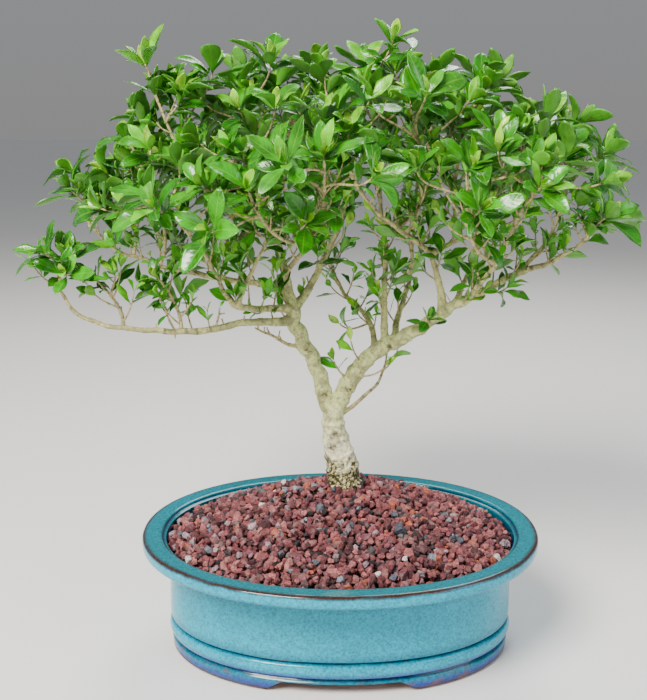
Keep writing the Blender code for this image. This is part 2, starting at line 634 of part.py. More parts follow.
def side_facing(faces, direction):
    """The free side face that looks most along a direction."""
    for face in faces:
        face.normal_update()
    return max(faces, key=lambda face: face.normal @ Vector(direction))


def leaf_prism(base, along, wide, normal, length):
    """Points and faces of a leaf's blade with its clearance, for the test against its neighbours."""
    grow = LEAF_CLEARANCE
    middle = base + along * length * 0.52 + normal * length * 0.06
    start, tip = base + along * length * 0.09 + normal * length * 0.01, base + along * (length + grow)
    half, thin = wide * (length * LEAF_WIDTH / 2 + grow), normal * (LEAF_THICKNESS / 2 + grow)
    points = [centre + sign * thin + share * half for centre, width in ((start, 0.35), (middle, 1.0))
              for sign, share in ((1, width), (1, -width), (-1, -width), (-1, width))] + [tip]
    faces = [(0, 1, 5, 4), (1, 2, 6, 5), (2, 3, 7, 6), (3, 0, 4, 7), (0, 3, 2, 1)]
    faces += [(4, 5, 8), (5, 6, 8), (6, 7, 8), (7, 4, 8)]
    return points, faces


def stick_prism(start, end, radius):
    along = unit(end - start)
    first = sideways(np.array((0.0, 1.0, 0.3)), along)
    second = np.cross(along, first)
    around = [radius * p for p in (first, second, -first, -second)]
    points = [start + p for p in around] + [end + p for p in around]
    faces = [(i, (i + 1) % 4, 4 + (i + 1) % 4, 4 + i) for i in range(4)] + [(3, 2, 1, 0), (4, 5, 6, 7)]
    return points, faces


def surface(points, faces):
    return BVHTree.FromPolygons([Vector(p) for p in points], faces)


def surface_of(thing):
    mesh = thing.data
    return surface([v.co for v in mesh.vertices], [tuple(f.vertices) for f in mesh.polygons])


class Neighbours:
    """The shapes placed so far, for a test of whether a new one would touch them."""

    def __init__(self):
        self.trees = []

    def add(self, points, faces):
        self.trees.append(surface(points, faces))

    def touched_by(self, points, faces):
        tree = surface(points, faces)
        return any(other.overlap(tree) for other in self.trees)


def settle_twigs(plans, wood):
    """Leaves out each side twig that would touch other wood or its own spray's. Adds the rest to the wood."""
    kept = []
    for stem, plan in plans:
        stations = np.linspace(0.06, 1.0, 12)
        stem_sticks = [stick_prism(stem(a), stem(b), STEM_RADIUS * 1.5) for a, b in zip(stations, stations[1:])]
        if any(wood.touched_by(*stick) for stick in stem_sticks):
            print("stem meets other wood:", SPRAYS[len(kept)][0])
        own, chosen = Neighbours(), []
        for a, b in zip(stations, stations[1:]):
            own.add(*stick_prism(stem(a), stem(b), STEM_RADIUS))
        twig_sticks = []
        for tuft in plan:
            at, tip, axis = tuft[:3]
            if tip is not None:
                root = stem(at)
                stick = stick_prism(root + unit(tip - root) * 0.003, tip + axis * NODE_LENGTH, TWIG_RADIUS * 1.5)
                if wood.touched_by(*stick) or own.touched_by(*stick):
                    continue
                twig_sticks.append(stick)
                own.add(*stick)
            chosen.append(tuft)
        for stick in stem_sticks + twig_sticks:
            wood.add(*stick)
        kept.append((stem, chosen))
    return kept


def build_spray(name, stem, plan, neighbours, finish):
    """One body: stem, twigs and leaves. A leaf that would touch a neighbour is left out."""
    body = Growth(stem(0.0), unit(stem(0.04) - stem(0.0)), STEM_RADIUS * 1.2)
    face = body.tip
    placed = 0.0

    def crown(end_face, base, axis, leaves):
        """A short node at the end of a twig, with leaves on its sides."""
        _, sides = body.square(end_face, base + axis * NODE_LENGTH, axis, TWIG_RADIUS)
        for angle, turn, length in leaves:
            along, wide, normal = leaf_frame(axis, angle, turn)
            root = base + axis * NODE_LENGTH / 2
            prism = leaf_prism(root, along, wide, normal, length)
            if neighbours.touched_by(*prism):
                continue
            neighbours.add(*prism)
            chosen = side_facing(sides, along)
            sides.remove(chosen)
            body.leaf(chosen, root, along, wide, normal, length)

    for at, tip, axis, _, leaves in sorted(plan, key=lambda tuft: tuft[0]):
        for t in np.arange(placed + 0.3, at - 0.15, 0.3):
            face, _ = body.square(face, stem(t), unit(stem(t + 0.01) - stem(t - 0.01)), STEM_RADIUS)
        here, forward = stem(at), unit(stem(at) - stem(at - 0.01))
        placed = at
        if tip is None:
            face, _ = body.square(face, here - forward * NODE_LENGTH, forward, STEM_RADIUS)
            crown(face, here, axis, leaves)
            continue
        face, _ = body.square(face, here - forward * NODE_LENGTH / 2, forward, STEM_RADIUS)
        face, sides = body.square(face, here + forward * NODE_LENGTH / 2, forward, STEM_RADIUS)
        away = unit(tip - here)
        twig = side_facing(sides, away)
        twig, _ = body.square(twig, tip, unit(away + axis), TWIG_RADIUS)
        crown(twig, tip, axis, leaves)
    mesh = bpy.data.meshes.new(name)
    bmesh.ops.recalc_face_normals(body.mesh, faces=body.mesh.faces)
    body.mesh.to_mesh(mesh)
    body.mesh.free()
    return place(name, mesh, finish)


def make_sprays(routes, bark, finish):
    wood = Neighbours()
    for name in routes:
        sides = 8
        wood.add(*tube(routes[name], sides))
    plans = [spray_plan(index, routes) for index in range(len(SPRAYS))]
    plans = settle_twigs(plans, wood)
    for (name, *_), (stem, plan) in zip(SPRAYS, plans):
        build_spray(f"spray_{name}", stem, plan, wood, finish)


# ---------------------------------------------------------------- assembly


def centre_over_base():
    """Slides every mesh sideways so that the whole plant's bounding box is centred on the Z axis."""
    bpy.context.view_layer.update()
    shown = [thing for thing in bpy.context.scene.objects if not thing.hide_render]
    corners = np.array([thing.matrix_world @ Vector(c) for thing in shown for c in thing.bound_box])
    middle = (corners.min(axis=0) + corners.max(axis=0)) / 2
    shift = Matrix.Translation((-middle[0], -middle[1], 0))
    for thing in bpy.context.scene.objects:
        thing.data.transform(shift)


def main():
    clear_scene()
    glaze = material("turquoise_glaze", "1fa9bd", 0.2)
    plastic = material("black_plastic_mesh", "1c1c1e", 0.5)
    wire = material("aluminium_wire", "8d8f92", 0.35, 1.0)
    soil = material("potting_mix", "3a2a20", 0.95)
    stone = material("lava_stone", "7b4038", 0.9)
    old_bark = material("old_bark", "b9b38f", 0.8)
    young_bark = material("young_bark", "b4b487", 0.75)
    leaf = material("leaf", "2f8a2c", 0.35)

    make_pot(glaze)
    for side, (x, y) in zip(("left", "right"), drain_centres()):
        make_screen(f"{side}_drainage_screen", x, y, plastic)
        make_clip(f"{side}_screen_clip", x, y, wire)
    routes, bark = make_wood(old_bark, young_bark)
    make_soil(soil, screen_pockets(), bark["trunk"])
    make_stone_bed(stone, bark["trunk"])
    make_sprays(routes, bark, leaf)
    centre_over_base()


main()
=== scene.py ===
"""Potted gardenia: the finished surfaces and materials of a small clipped gardenia in an oval glazed pot.

Units are metres and +Z is up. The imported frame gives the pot's place and size, and everything else is laid
out about the middle of the pot at table level: the glazed wall, the lava stone, one grown piece of wood, and
for each leafy spray its twigs and its leaves.
"""

import math
from functools import partial

import bmesh
import bpy
import numpy as np
from bpy.props import FloatProperty, FloatVectorProperty, IntProperty, PointerProperty
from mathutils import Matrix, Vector


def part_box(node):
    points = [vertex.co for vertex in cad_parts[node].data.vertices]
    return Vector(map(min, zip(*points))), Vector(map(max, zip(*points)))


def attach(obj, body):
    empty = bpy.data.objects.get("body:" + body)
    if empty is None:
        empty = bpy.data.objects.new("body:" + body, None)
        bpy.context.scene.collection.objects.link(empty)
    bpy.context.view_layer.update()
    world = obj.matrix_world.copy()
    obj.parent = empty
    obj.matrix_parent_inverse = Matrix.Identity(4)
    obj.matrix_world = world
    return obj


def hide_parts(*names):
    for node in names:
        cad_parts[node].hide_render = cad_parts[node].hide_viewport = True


bl_info = {
    "name": "Potted Gardenia",
    "version": (1, 0, 0),
    "blender": (4, 5, 0),
    "location": "View3D > Sidebar > Gardenia",
    "description": "Finishes a small clipped gardenia in an oval glazed pot dressed with lava stone",
    "category": "Add Mesh",
}

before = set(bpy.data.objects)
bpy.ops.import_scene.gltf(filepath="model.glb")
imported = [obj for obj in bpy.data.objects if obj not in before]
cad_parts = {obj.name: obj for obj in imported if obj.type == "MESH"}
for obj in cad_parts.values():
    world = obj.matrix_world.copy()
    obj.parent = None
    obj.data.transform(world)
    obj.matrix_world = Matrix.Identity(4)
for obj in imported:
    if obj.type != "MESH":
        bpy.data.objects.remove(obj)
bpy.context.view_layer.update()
POT_LOW, POT_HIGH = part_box("pot")
POT_MIDDLE = np.array(((POT_LOW.x + POT_HIGH.x) / 2, (POT_LOW.y + POT_HIGH.y) / 2, 0.0))
BODY = "root"
MM = 0.001

# ---------------------------------------------------------------- pot

RIM_HALF_LENGTH = (POT_HIGH.x - POT_LOW.x) / 2
RIM_HALF_WIDTH = (POT_HIGH.y - POT_LOW.y) / 2
RIM_HEIGHT = POT_HIGH.z
OVAL_POWER = 2.08
FRONT_TUCK = 0.015
FLOOR_TOP = 0.018
FLOOR_UNDERSIDE = 0.011
FOOT_RING_WIDTH = 0.016
FOOT_GAP_SOLE = 0.068
FOOT_GAP_TOP = 0.050
DRAIN_HOLE_X = 0.062
DRAIN_HOLE_RADIUS = 0.009
POT_DIVISIONS = 176
PROFILE_STEPS = 5
PROFILE_SPACING = 0.8 * MM
PROFILE_TENSION = 0.35
CUT_BELOW = -0.002

# Setback from the rim's edge, share of FRONT_TUCK, height, and the glaze that lies there; the groove tone is
# partly painted shade.
POT_PROFILE = (
    (0.0270, 1.0, 0.0000, "bare"),
    (0.0242, 1.0, 0.0025, "burnt"),
    (0.0238, 1.0, 0.0060, "violet"),
    (0.0236, 1.0, 0.0112, "deep"),
    # groove: near-black painted shade at the bottom of each turned groove, where the glaze also pools darker.
    (0.0262, 1.0, 0.0140, "groove"),
    (0.0230, 1.0, 0.0166, "violet"),
    (0.0214, 1.0, 0.0218, "wall"),
    (0.0226, 1.0, 0.0272, "wall"),
    (0.0256, 1.0, 0.0294, "groove"),
    (0.0230, 1.0, 0.0318, "deep"),
    (0.0224, 1.0, 0.0400, "wall"),
    (0.0232, 1.0, 0.0740, "wall"),
    (0.0212, 1.0, 0.0840, "deep"),
    (0.0160, 0.8, 0.0915, "wall"),
    (0.0075, 0.4, 0.0965, "wall"),
    (0.0015, 0.0, 0.0990, "deep"),
    (0.0000, 0.0, 0.1020, "wall"),
    (0.0000, 0.0, 0.1070, "wall"),
    (0.0006, 0.0, 0.1087, "burnt"),
    (0.0020, 0.0, 0.1097, "burnt"),
    (0.0050, 0.0, RIM_HEIGHT, "rim"),
    (0.0165, 0.0, 0.1090, "rim"),
    # From here down the inside, groove is painted shade only: the step under the inner lip and the inner wall
    # below it.
    (0.0180, 0.0, 0.1065, "groove"),
    (0.0210, 0.0, 0.1055, "rim"),
    (0.0215, 0.0, 0.1000, "groove"),
    (0.0310, 1.0, 0.0860, "groove"),
    (0.0315, 1.0, 0.0300, "deep"),
    (0.0420, 1.0, FLOOR_TOP, "deep"),
)

# ---------------------------------------------------------------- stone

CREST = (0.005, 0.042)
MOUND_EDGE = 0.1030
MOUND_RISE = 0.0350
MOUND_POWER = 1.7
MOUND_SETBACK = 0.0216
STONE_KINDS = 18
STONE_CORNERS = 19
STONE_SEED = 21
# Colour of the stone, and its share of the dressing.
STONE_COLOURS = (
    ("86474a", 0.24), ("9c5d5c", 0.18), ("673438", 0.20), ("77434b", 0.13), ("a9563f", 0.035),
    ("4c282d", 0.09), ("4d525d", 0.03), ("767c88", 0.015), ("2b2529", 0.06), ("957e86", 0.035),
    ("d8cfc8", 0.004),
)

# ---------------------------------------------------------------- wood

# Point and radius of each row, as in LIMBS.
TRUNK = (
    (0.007, 0.041, 0.078, 0.021),
    (0.007, 0.041, 0.100, 0.0205),
    (0.006, 0.040, 0.120, 0.0180),
    (0.005, 0.040, 0.140, 0.0160),
    (0.003, 0.040, 0.154, 0.0138),
    (-0.001, 0.040, 0.168, 0.0122),
    (-0.005, 0.040, 0.186, 0.0106),
    (-0.006, 0.040, 0.198, 0.0094),
    (-0.005, 0.040, 0.208, 0.0092),
    (-0.004, 0.040, 0.214, 0.0078),
)
MAIN_LIMBS = ("left_limb", "right_limb")
# Healed knots on the old wood: middle and radius.
KNOTS = (
    (-0.0070, 0.0285, 0.1740, 0.0052), (-0.0050, 0.0310, 0.1880, 0.0042), (0.0080, 0.0325, 0.2290, 0.0044),
    (-0.0150, 0.0330, 0.2240, 0.0040), (0.0450, 0.0295, 0.2710, 0.0036), (-0.0290, 0.0335, 0.2660, 0.0034),
    (0.0160, 0.0480, 0.1620, 0.0045), (-0.0140, 0.0460, 0.1560, 0.0045),
)
ROOT_LOBES = 5
ROOT_FLARE = 0.30
ROOT_FLARE_TOP = 0.135
JOINT_SPACING = 15 * MM
JOINT_WIDTH = 1.8 * MM

# Name and route of each limb. A route starts inside the wood that the limb grows from.
LIMBS = (
    ("left_limb", (
        (-0.007, 0.040, 0.203, 0.0062), (-0.013, 0.040, 0.218, 0.0072), (-0.018, 0.040, 0.238, 0.0070),
        (-0.026, 0.040, 0.259, 0.0066), (-0.036, 0.040, 0.278, 0.0062), (-0.042, 0.040, 0.294, 0.0058),
        (-0.043, 0.040, 0.309, 0.0046))),
    ("right_limb", (
        (-0.004, 0.040, 0.203, 0.0064), (0.004, 0.040, 0.226, 0.0076), (0.015, 0.040, 0.244, 0.0078),
        (0.027, 0.040, 0.258, 0.0074), (0.042, 0.037, 0.270, 0.0068), (0.058, 0.031, 0.279, 0.0060),
        (0.081, 0.020, 0.296, 0.0050), (0.103, 0.012, 0.313, 0.0042), (0.126, 0.006, 0.326, 0.0034),
        (0.151, 0.000, 0.341, 0.0027), (0.177, -0.005, 0.351, 0.0020), (0.198, -0.010, 0.365, 0.0015))),
    ("low_left_branch", (
        (-0.042, 0.040, 0.294, 0.0036), (-0.054, 0.030, 0.293, 0.0036), (-0.086, 0.010, 0.296, 0.0031),
        (-0.112, -0.005, 0.293, 0.0028), (-0.139, -0.018, 0.294, 0.0025), (-0.187, -0.030, 0.300, 0.0020),
        (-0.208, -0.035, 0.307, 0.0017), (-0.222, -0.036, 0.316, 0.0015), (-0.231, -0.036, 0.332, 0.0012))),
    ("far_left_branch", (
        (-0.043, 0.041, 0.304, 0.0036), (-0.053, 0.054, 0.318, 0.0034), (-0.076, 0.061, 0.323, 0.0030),
        (-0.101, 0.067, 0.325, 0.0027), (-0.134, 0.069, 0.331, 0.0023), (-0.162, 0.063, 0.337, 0.0020),
        (-0.180, 0.059, 0.346, 0.0018), (-0.201, 0.051, 0.354, 0.0015), (-0.221, 0.040, 0.377, 0.0012))),
    ("front_left_branch", (
        (-0.043, 0.040, 0.302, 0.0034), (-0.053, 0.027, 0.306, 0.0032), (-0.068, 0.012, 0.308, 0.0029),
        (-0.087, -0.006, 0.313, 0.0025), (-0.095, -0.012, 0.320, 0.0021), (-0.101, -0.020, 0.334, 0.0018),
        (-0.107, -0.026, 0.350, 0.0013))),
    ("inner_left_branch", (
        (-0.087, -0.006, 0.313, 0.0021), (-0.086, -0.009, 0.322, 0.0021), (-0.076, -0.012, 0.343, 0.0017),
        (-0.064, -0.014, 0.367, 0.0012))),
    ("up_left_branch", (
        (-0.043, 0.040, 0.305, 0.0036), (-0.047, 0.039, 0.325, 0.0033), (-0.051, 0.038, 0.346, 0.0027),
        (-0.055, 0.036, 0.366, 0.0022), (-0.062, 0.034, 0.398, 0.0015))),
    ("up_centre_branch", (
        (-0.042, 0.041, 0.303, 0.0034), (-0.029, 0.049, 0.319, 0.0032), (-0.012, 0.059, 0.351, 0.0025),
        (0.001, 0.067, 0.378, 0.0019), (0.009, 0.073, 0.408, 0.0013))),
    ("left_stub", (
        (-0.031, 0.040, 0.268, 0.0017), (-0.046, 0.038, 0.270, 0.0016), (-0.061, 0.030, 0.280, 0.0013),
        (-0.076, 0.021, 0.289, 0.0009))),
    ("up_mid_branch", (
        (0.041, 0.038, 0.269, 0.0030), (0.040, 0.040, 0.299, 0.0030), (0.040, 0.040, 0.327, 0.0026),
        (0.041, 0.041, 0.355, 0.0022), (0.037, 0.041, 0.386, 0.0018), (0.034, 0.041, 0.412, 0.0013))),
    ("back_right_branch", (
        (0.050, 0.034, 0.275, 0.0028), (0.053, 0.060, 0.287, 0.0028), (0.060, 0.079, 0.302, 0.0025),
        (0.068, 0.093, 0.326, 0.0020), (0.071, 0.106, 0.366, 0.0013))),
    ("mid_back_branch", (
        (0.033, 0.039, 0.263, 0.0026), (0.029, 0.061, 0.284, 0.0025), (0.017, 0.075, 0.300, 0.0021),
        (0.003, 0.086, 0.312, 0.0018), (-0.010, 0.098, 0.340, 0.0012))),
    ("back_left_branch", (
        (-0.090, 0.065, 0.324, 0.0022), (-0.094, 0.084, 0.333, 0.0021), (-0.106, 0.108, 0.352, 0.0016),
        (-0.114, 0.124, 0.376, 0.0012))),
    ("up_right_branch", (
        (0.090, 0.016, 0.303, 0.0032), (0.089, 0.018, 0.318, 0.0031), (0.084, 0.017, 0.338, 0.0027),
        (0.076, 0.010, 0.358, 0.0022), (0.053, 0.000, 0.376, 0.0019), (0.032, -0.010, 0.392, 0.0016),
        (0.018, -0.019, 0.408, 0.0012))),
    ("inner_right_branch", (
        (0.077, 0.011, 0.355, 0.0019), (0.094, 0.007, 0.366, 0.0018), (0.112, 0.002, 0.374, 0.0015),
        (0.134, -0.003, 0.386, 0.0012))),
    ("front_right_branch", (
        (0.112, 0.009, 0.318, 0.0022), (0.118, -0.010, 0.334, 0.0021), (0.128, -0.034, 0.356, 0.0016),
        (0.134, -0.054, 0.382, 0.0012))),
    ("far_right_branch", (
        (0.100, 0.013, 0.311, 0.0024), (0.110, 0.038, 0.324, 0.0023), (0.126, 0.072, 0.345, 0.0018),
        (0.140, 0.098, 0.374, 0.0012))),
    ("right_fork_branch", (
        (0.151, 0.000, 0.341, 0.0018), (0.164, 0.004, 0.354, 0.0018), (0.178, 0.006, 0.370, 0.0015),
        (0.188, 0.006, 0.398, 0.0011))),
    ("front_centre_branch", (
        (-0.049, 0.038, 0.336, 0.0021), (-0.041, 0.019, 0.348, 0.0021), (-0.028, -0.010, 0.366, 0.0016),
        (-0.018, -0.044, 0.388, 0.0012))),
    ("trunk_shoot", (
        (-0.005, 0.040, 0.199, 0.0018), (0.012, 0.040, 0.211, 0.0018), (0.024, 0.041, 0.222, 0.0016),
        (0.035, 0.046, 0.231, 0.0014), (0.042, 0.053, 0.246, 0.0012), (0.045, 0.059, 0.262, 0.0009))),
)

# ---------------------------------------------------------------- leaves

# Name, branch, share of the way along it, middle of the spray, tufts of leaves, spread of the tufts.
SPRAYS = (
    ("low_left_tip", "low_left_branch", 1.00, (-0.219, -0.037, 0.350), 4, 0.015),
    ("low_left_outer", "low_left_branch", 0.72, (-0.192, -0.033, 0.334), 2, 0.016),
    ("low_left_middle", "low_left_branch", 0.50, (-0.142, -0.024, 0.332), 2, 0.015),
    ("far_left_tip", "far_left_branch", 1.00, (-0.214, 0.042, 0.391), 4, 0.018),
    ("far_left_outer", "far_left_branch", 0.78, (-0.186, 0.064, 0.408), 6, 0.038),
    ("far_left_middle", "far_left_branch", 0.56, (-0.144, 0.095, 0.412), 6, 0.042),
    ("high_left", "far_left_branch", 0.66, (-0.164, 0.012, 0.430), 6, 0.040),
    ("back_left_tip", "back_left_branch", 1.00, (-0.118, 0.142, 0.426), 6, 0.042),
    ("back_left_inner", "back_left_branch", 0.60, (-0.062, 0.130, 0.424), 6, 0.044),
    ("front_left_tip", "front_left_branch", 1.00, (-0.136, -0.050, 0.394), 6, 0.038),
    ("inner_left_tip", "inner_left_branch", 1.00, (-0.078, -0.036, 0.420), 6, 0.044),
    ("up_left_tip", "up_left_branch", 1.00, (-0.080, 0.030, 0.470), 7, 0.042),
    ("up_left_outer", "up_left_branch", 0.70, (-0.130, 0.040, 0.472), 6, 0.040),
    ("top_left_shoot", "up_left_branch", 0.86, (-0.158, 0.022, 0.500), 3, 0.020),
    ("up_centre_tip", "up_centre_branch", 1.00, (-0.004, 0.092, 0.464), 7, 0.044),
    ("up_centre_left", "up_centre_branch", 0.72, (-0.044, 0.070, 0.480), 6, 0.040),
    ("mid_back_tip", "mid_back_branch", 1.00, (-0.016, 0.142, 0.410), 6, 0.044),
    ("up_mid_tip", "up_mid_branch", 1.00, (0.022, 0.039, 0.487), 7, 0.041),
    ("up_mid_right", "up_mid_branch", 0.72, (0.072, 0.052, 0.478), 6, 0.042),
    ("back_right_tip", "back_right_branch", 1.00, (0.072, 0.124, 0.430), 6, 0.044),
    ("up_right_tip", "up_right_branch", 1.00, (-0.006, -0.034, 0.448), 6, 0.042),
    ("up_right_middle", "up_right_branch", 0.62, (0.048, -0.030, 0.456), 6, 0.042),
    ("inner_right_tip", "inner_right_branch", 1.00, (0.136, -0.012, 0.436), 6, 0.040),
    ("inner_right_high", "inner_right_branch", 0.45, (0.108, 0.020, 0.476), 6, 0.040),
    ("right_fork_tip", "right_fork_branch", 1.00, (0.180, 0.010, 0.418), 6, 0.034),
    ("right_tip", "right_limb", 1.00, (0.204, -0.012, 0.376), 4, 0.021),
    ("front_right_tip", "front_right_branch", 1.00, (0.138, -0.074, 0.412), 6, 0.040),
    ("front_right_inner", "front_right_branch", 0.60, (0.086, -0.068, 0.410), 6, 0.042),
    ("far_right_tip", "far_right_branch", 1.00, (0.140, 0.120, 0.424), 6, 0.042),
    ("far_right_high", "far_right_branch", 0.66, (0.152, 0.066, 0.452), 6, 0.040),
    ("front_centre_tip", "front_centre_branch", 1.00, (-0.014, -0.088, 0.418), 6, 0.042),
    ("front_centre_left", "front_centre_branch", 0.62, (-0.064, -0.074, 0.396), 5, 0.040),
)
CANOPY_CORE = np.array((-0.01, 0.03, 0.33))
SPRAY_SEED = 7
SPRAY_LIFT = 0.0005
GOLDEN_ANGLE = math.radians(137.5)
LEAF_LENGTH = (0.029, 0.042)
NODE_LENGTH = 0.0026
LEAF_STATIONS = 8
LEAF_RING = 8
LEAF_THICKNESS = 0.45 * MM
TWIG_SIDES = 7
UP = np.array((0.0, 0.0, 1.0))

# Leaves of one tuft: angle from the axis, place round it in half turns, share of full length, place along the
# tip in node lengths, below 0 for back along the twig, and age from 0, just opened, to 1, old. The first three
# are the leaves that the solid model holds.
TUFT_LEAVES = (
    (68, 0.00, 1.00, 0.5, 0.92),
    (68, 1.00, 1.00, 0.5, 0.92),
    (48, 0.50, 0.92, 0.8, 0.72),
    (54, 1.50, 0.92, 0.7, 0.80),
    (40, 0.22, 0.74, 1.2, 0.50),
    (34, 1.24, 0.66, 1.3, 0.40),
    (18, 1.78, 0.54, 1.7, 0.18),
    (12, 0.76, 0.44, 1.9, 0.08),
    (58, 0.55, 0.78, -3.6, 1.00),
    (62, 1.52, 0.74, -3.9, 1.00),
    (56, 0.04, 0.58, -7.2, 1.00),
    (60, 1.06, 0.56, -7.6, 1.00),
)
# Share of the leaves after the third that are there.
TUFT_FULLNESS = 0.78
SHOOT_FULLNESS = 0.85
# Leaf pairs of a side shoot, from its tip down: share of full length, spread in degrees, and age.
PAIR_SIZE = (0.62, 0.26)
PAIR_SPREAD = (26, 16)
PAIR_AGE = (0.22, 0.24)
# Lengths of a side shoot, bare or leafy, and of its leaves.
BARE_SHOOT = (5, 13)
LEAFY_SHOOT = (12, 34)
SHOOT_LEAF = (14, 28)
# How strongly a side shoot turns up to the light.
UPWARD_PULL = 1.35
# Side shoots of a branch that SHOOT_RUNS doesn't name.
USUAL_RUN = (0.22, 0.97, 1.0, 0.18)
# Sprays whose leaves differ: their size, and how much younger they are.
SPRAY_CHANGES = {
    "top_left_shoot": (1.10, 0.22),
    "low_left_tip": (0.82, 0.05),
    "low_left_outer": (0.78, 0.10),
    "low_left_middle": (0.78, 0.0),
    "up_mid_tip": (1.0, 0.20),
}

# Side shoots of a branch where they differ: first and last share of it, spacing, and share that are bare.
SHOOT_RUNS = {
    "trunk": (1.0, 1.0, 1.0, 0.0),
    "left_limb": (0.80, 1.0, 1.0, 0.4),
    "right_limb": (0.46, 0.97, 1.1, 0.35),
    "low_left_branch": (0.10, 0.66, 1.7, 0.6),
    "left_stub": (0.40, 1.0, 0.8, 0.7),
    "trunk_shoot": (0.75, 1.0, 1.0, 0.5),
}
# Shoots that stand on their own: branch, share of the way along it, heading, length, pairs, leaf length.
PLACED_SHOOTS = (
    ("right_limb", 0.13, (-0.75, -0.3, 1.0), 0.026, 2, 0.022),
    ("right_limb", 0.20, (-0.45, -0.5, 1.0), 0.030, 2, 0.024),
    ("right_limb", 0.15, (1.0, -0.5, 0.45), 0.034, 1, 0.023),
    ("mid_back_branch", 0.30, (-1.0, -0.7, 0.10), 0.034, 2, 0.026),
    ("right_limb", 0.66, (0.25, -0.7, 0.35), 0.014, 2, 0.018),
    ("low_left_branch", 0.36, (0.25, -0.2, 1.0), 0.020, 2, 0.013),
    ("low_left_branch", 0.52, (-0.35, -0.2, 1.0), 0.026, 2, 0.015),
)


# ---------------------------------------------------------------- stage

FLOOR_HALF = 60.0
# Just under the feet, so that the two faces don't share a plane.
FLOOR_DROP = -0.0004
LIGHT_TARGET = Vector((0, 0, 0.28))
CAMERA_OFFSET = Vector((-0.0149, -0.808, 0.459))
CAMERA_PITCH = math.radians(90 - 12.91)

# ---------------------------------------------------------------- small helpers


def linear(code):
    """A hex colour such as '2fb4c4' as linear RGB."""
    channels = [int(code[i:i + 2], 16) / 255 for i in (0, 2, 4)]
    return [c / 12.92 if c <= 0.04045 else ((c + 0.055) / 1.055) ** 2.4 for c in channels]


def solid(code):
    """A hex colour as linear RGBA."""
    return (*linear(code), 1.0)


def unit(v):
    return v / np.linalg.norm(v)


def sideways(v, axis):
    """The part of a direction that is square to an axis, at unit length."""
    return unit(v - axis * (v @ axis))


def add_object(name, mesh, finish=None):
    thing = bpy.data.objects.new(name, mesh)
    bpy.context.scene.collection.objects.link(thing)
    if finish:
        mesh.materials.append(finish)
    return thing


def new_mesh(name, points, faces, smooth=True, right_way=True):
    """A mesh from an array of points and lists of faces, with its normals turned outwards."""
    mesh = bpy.data.meshes.new(name)
    mesh.from_pydata(np.asarray(points, float).tolist(), [], faces)
    if right_way:
        made = bmesh.new()
        made.from_mesh(mesh)
        bmesh.ops.recalc_face_normals(made, faces=made.faces)
        made.to_mesh(mesh)
        made.free()
    mesh.polygons.foreach_set("use_smooth", np.full(len(mesh.polygons), smooth))
    return mesh


def point_attribute(mesh, name, kind, values):
    """Stores one value for each point under a name that the materials read."""
    field = {"FLOAT": "value", "FLOAT_COLOR": "color", "FLOAT_VECTOR": "vector"}[kind]
    stored = mesh.attributes.new(name, kind, "POINT")
    stored.data.foreach_set(field, np.ascontiguousarray(values, np.float32).ravel())


def point_uv(mesh, name, values):
    """A UV map whose value depends only on the point."""
    corner_points = np.empty(len(mesh.loops), np.int32)
    mesh.loops.foreach_get("vertex_index", corner_points)
    mesh.uv_layers.new(name=name).data.foreach_set("uv", np.asarray(values, np.float32)[corner_points].ravel())


def ring_faces(rings, sides):
    """Quads between rings of points, each ring closed on itself, and a fan from a pole at each end. The two
    poles are the points after the rings."""
    k, i = np.meshgrid(np.arange(rings - 1), np.arange(sides), indexing="ij")
    j = (i + 1) % sides
    quads = np.stack([k * sides + i, k * sides + j, (k + 1) * sides + j, (k + 1) * sides + i], axis=-1)
    i = np.arange(sides)
    j = (i + 1) % sides
    low, high = rings * sides, rings * sides + 1
    last = (rings - 1) * sides
    fans = np.concatenate([np.column_stack([j, i, np.full(sides, low)]),
                           np.column_stack([last + i, last + j, np.full(sides, high)])])
    return quads.reshape(-1, 4), fans


def repeated(faces, copies, stride):
    """The same faces for many copies whose points follow each other in one array."""
    return (faces[None] + stride * np.arange(copies)[:, None, None]).reshape(-1, faces.shape[1])


def smooth_route(route, spacing):
    """Catmull-Rom curve through a route's points and radii, with about one row for each spacing of
    its length."""
    knots = np.array(route, float)
    ends = np.vstack([2 * knots[0] - knots[1], knots, 2 * knots[-1] - knots[-2]])
    rows = []
    for a, b, c, d in zip(ends, ends[1:], ends[2:], ends[3:]):
        steps = max(1, round(np.linalg.norm((c - b)[:3]) / spacing))
        t = (np.arange(steps) / steps)[:, None]
        rows.append(0.5 * (2 * b + (c - a) * t + (2 * a - 5 * b + 4 * c - d) * t ** 2
                           + (3 * b - a - 3 * c + d) * t ** 3))
    return np.vstack(rows + [knots[-1:]])


def route_length(centres):
    steps = np.linalg.norm(np.diff(centres, axis=0), axis=1)
    return np.concatenate([[0], np.cumsum(steps)])


def tube(centres, radii, sides):
    """Rings of a tube carried along a path: centre + radius * (cos a * across + sin a * other), where
    across and other stay square to the path and don't twist. radii is one number a ring, or one for
    each point of a ring."""
    along = np.gradient(centres, axis=0)
    along /= np.linalg.norm(along, axis=1, keepdims=True)
    across = np.cross(along[0], (0.0, 1.0, 0.0))
    heading = []
    for forward in along:
        across = unit(across - forward * (across @ forward))
        heading.append(across)
    heading = np.array(heading)
    other = np.cross(along, heading)
    turn = np.arange(sides) * 2 * math.pi / sides
    circle = np.cos(turn)[None, :, None] * heading[:, None] + np.sin(turn)[None, :, None] * other[:, None]
    reach = radii if np.ndim(radii) == 2 else np.repeat(np.asarray(radii)[:, None], sides, axis=1)
    points = centres[:, None] + reach[:, :, None] * circle
    poles = [centres[0] - along[0] * reach[0].mean() * 0.4, centres[-1] + along[-1] * reach[-1].mean() * 0.5]
    return np.concatenate([points.reshape(-1, 3), poles])


def joined(parts):
    """Points and faces of several (points, quads, fans) as one."""
    points, faces, start = [], [], 0
    for part_points, quads, fans in parts:
        faces += (quads + start).tolist() + (fans + start).tolist()
        points.append(part_points)
        start += len(part_points)
    return np.concatenate(points), faces


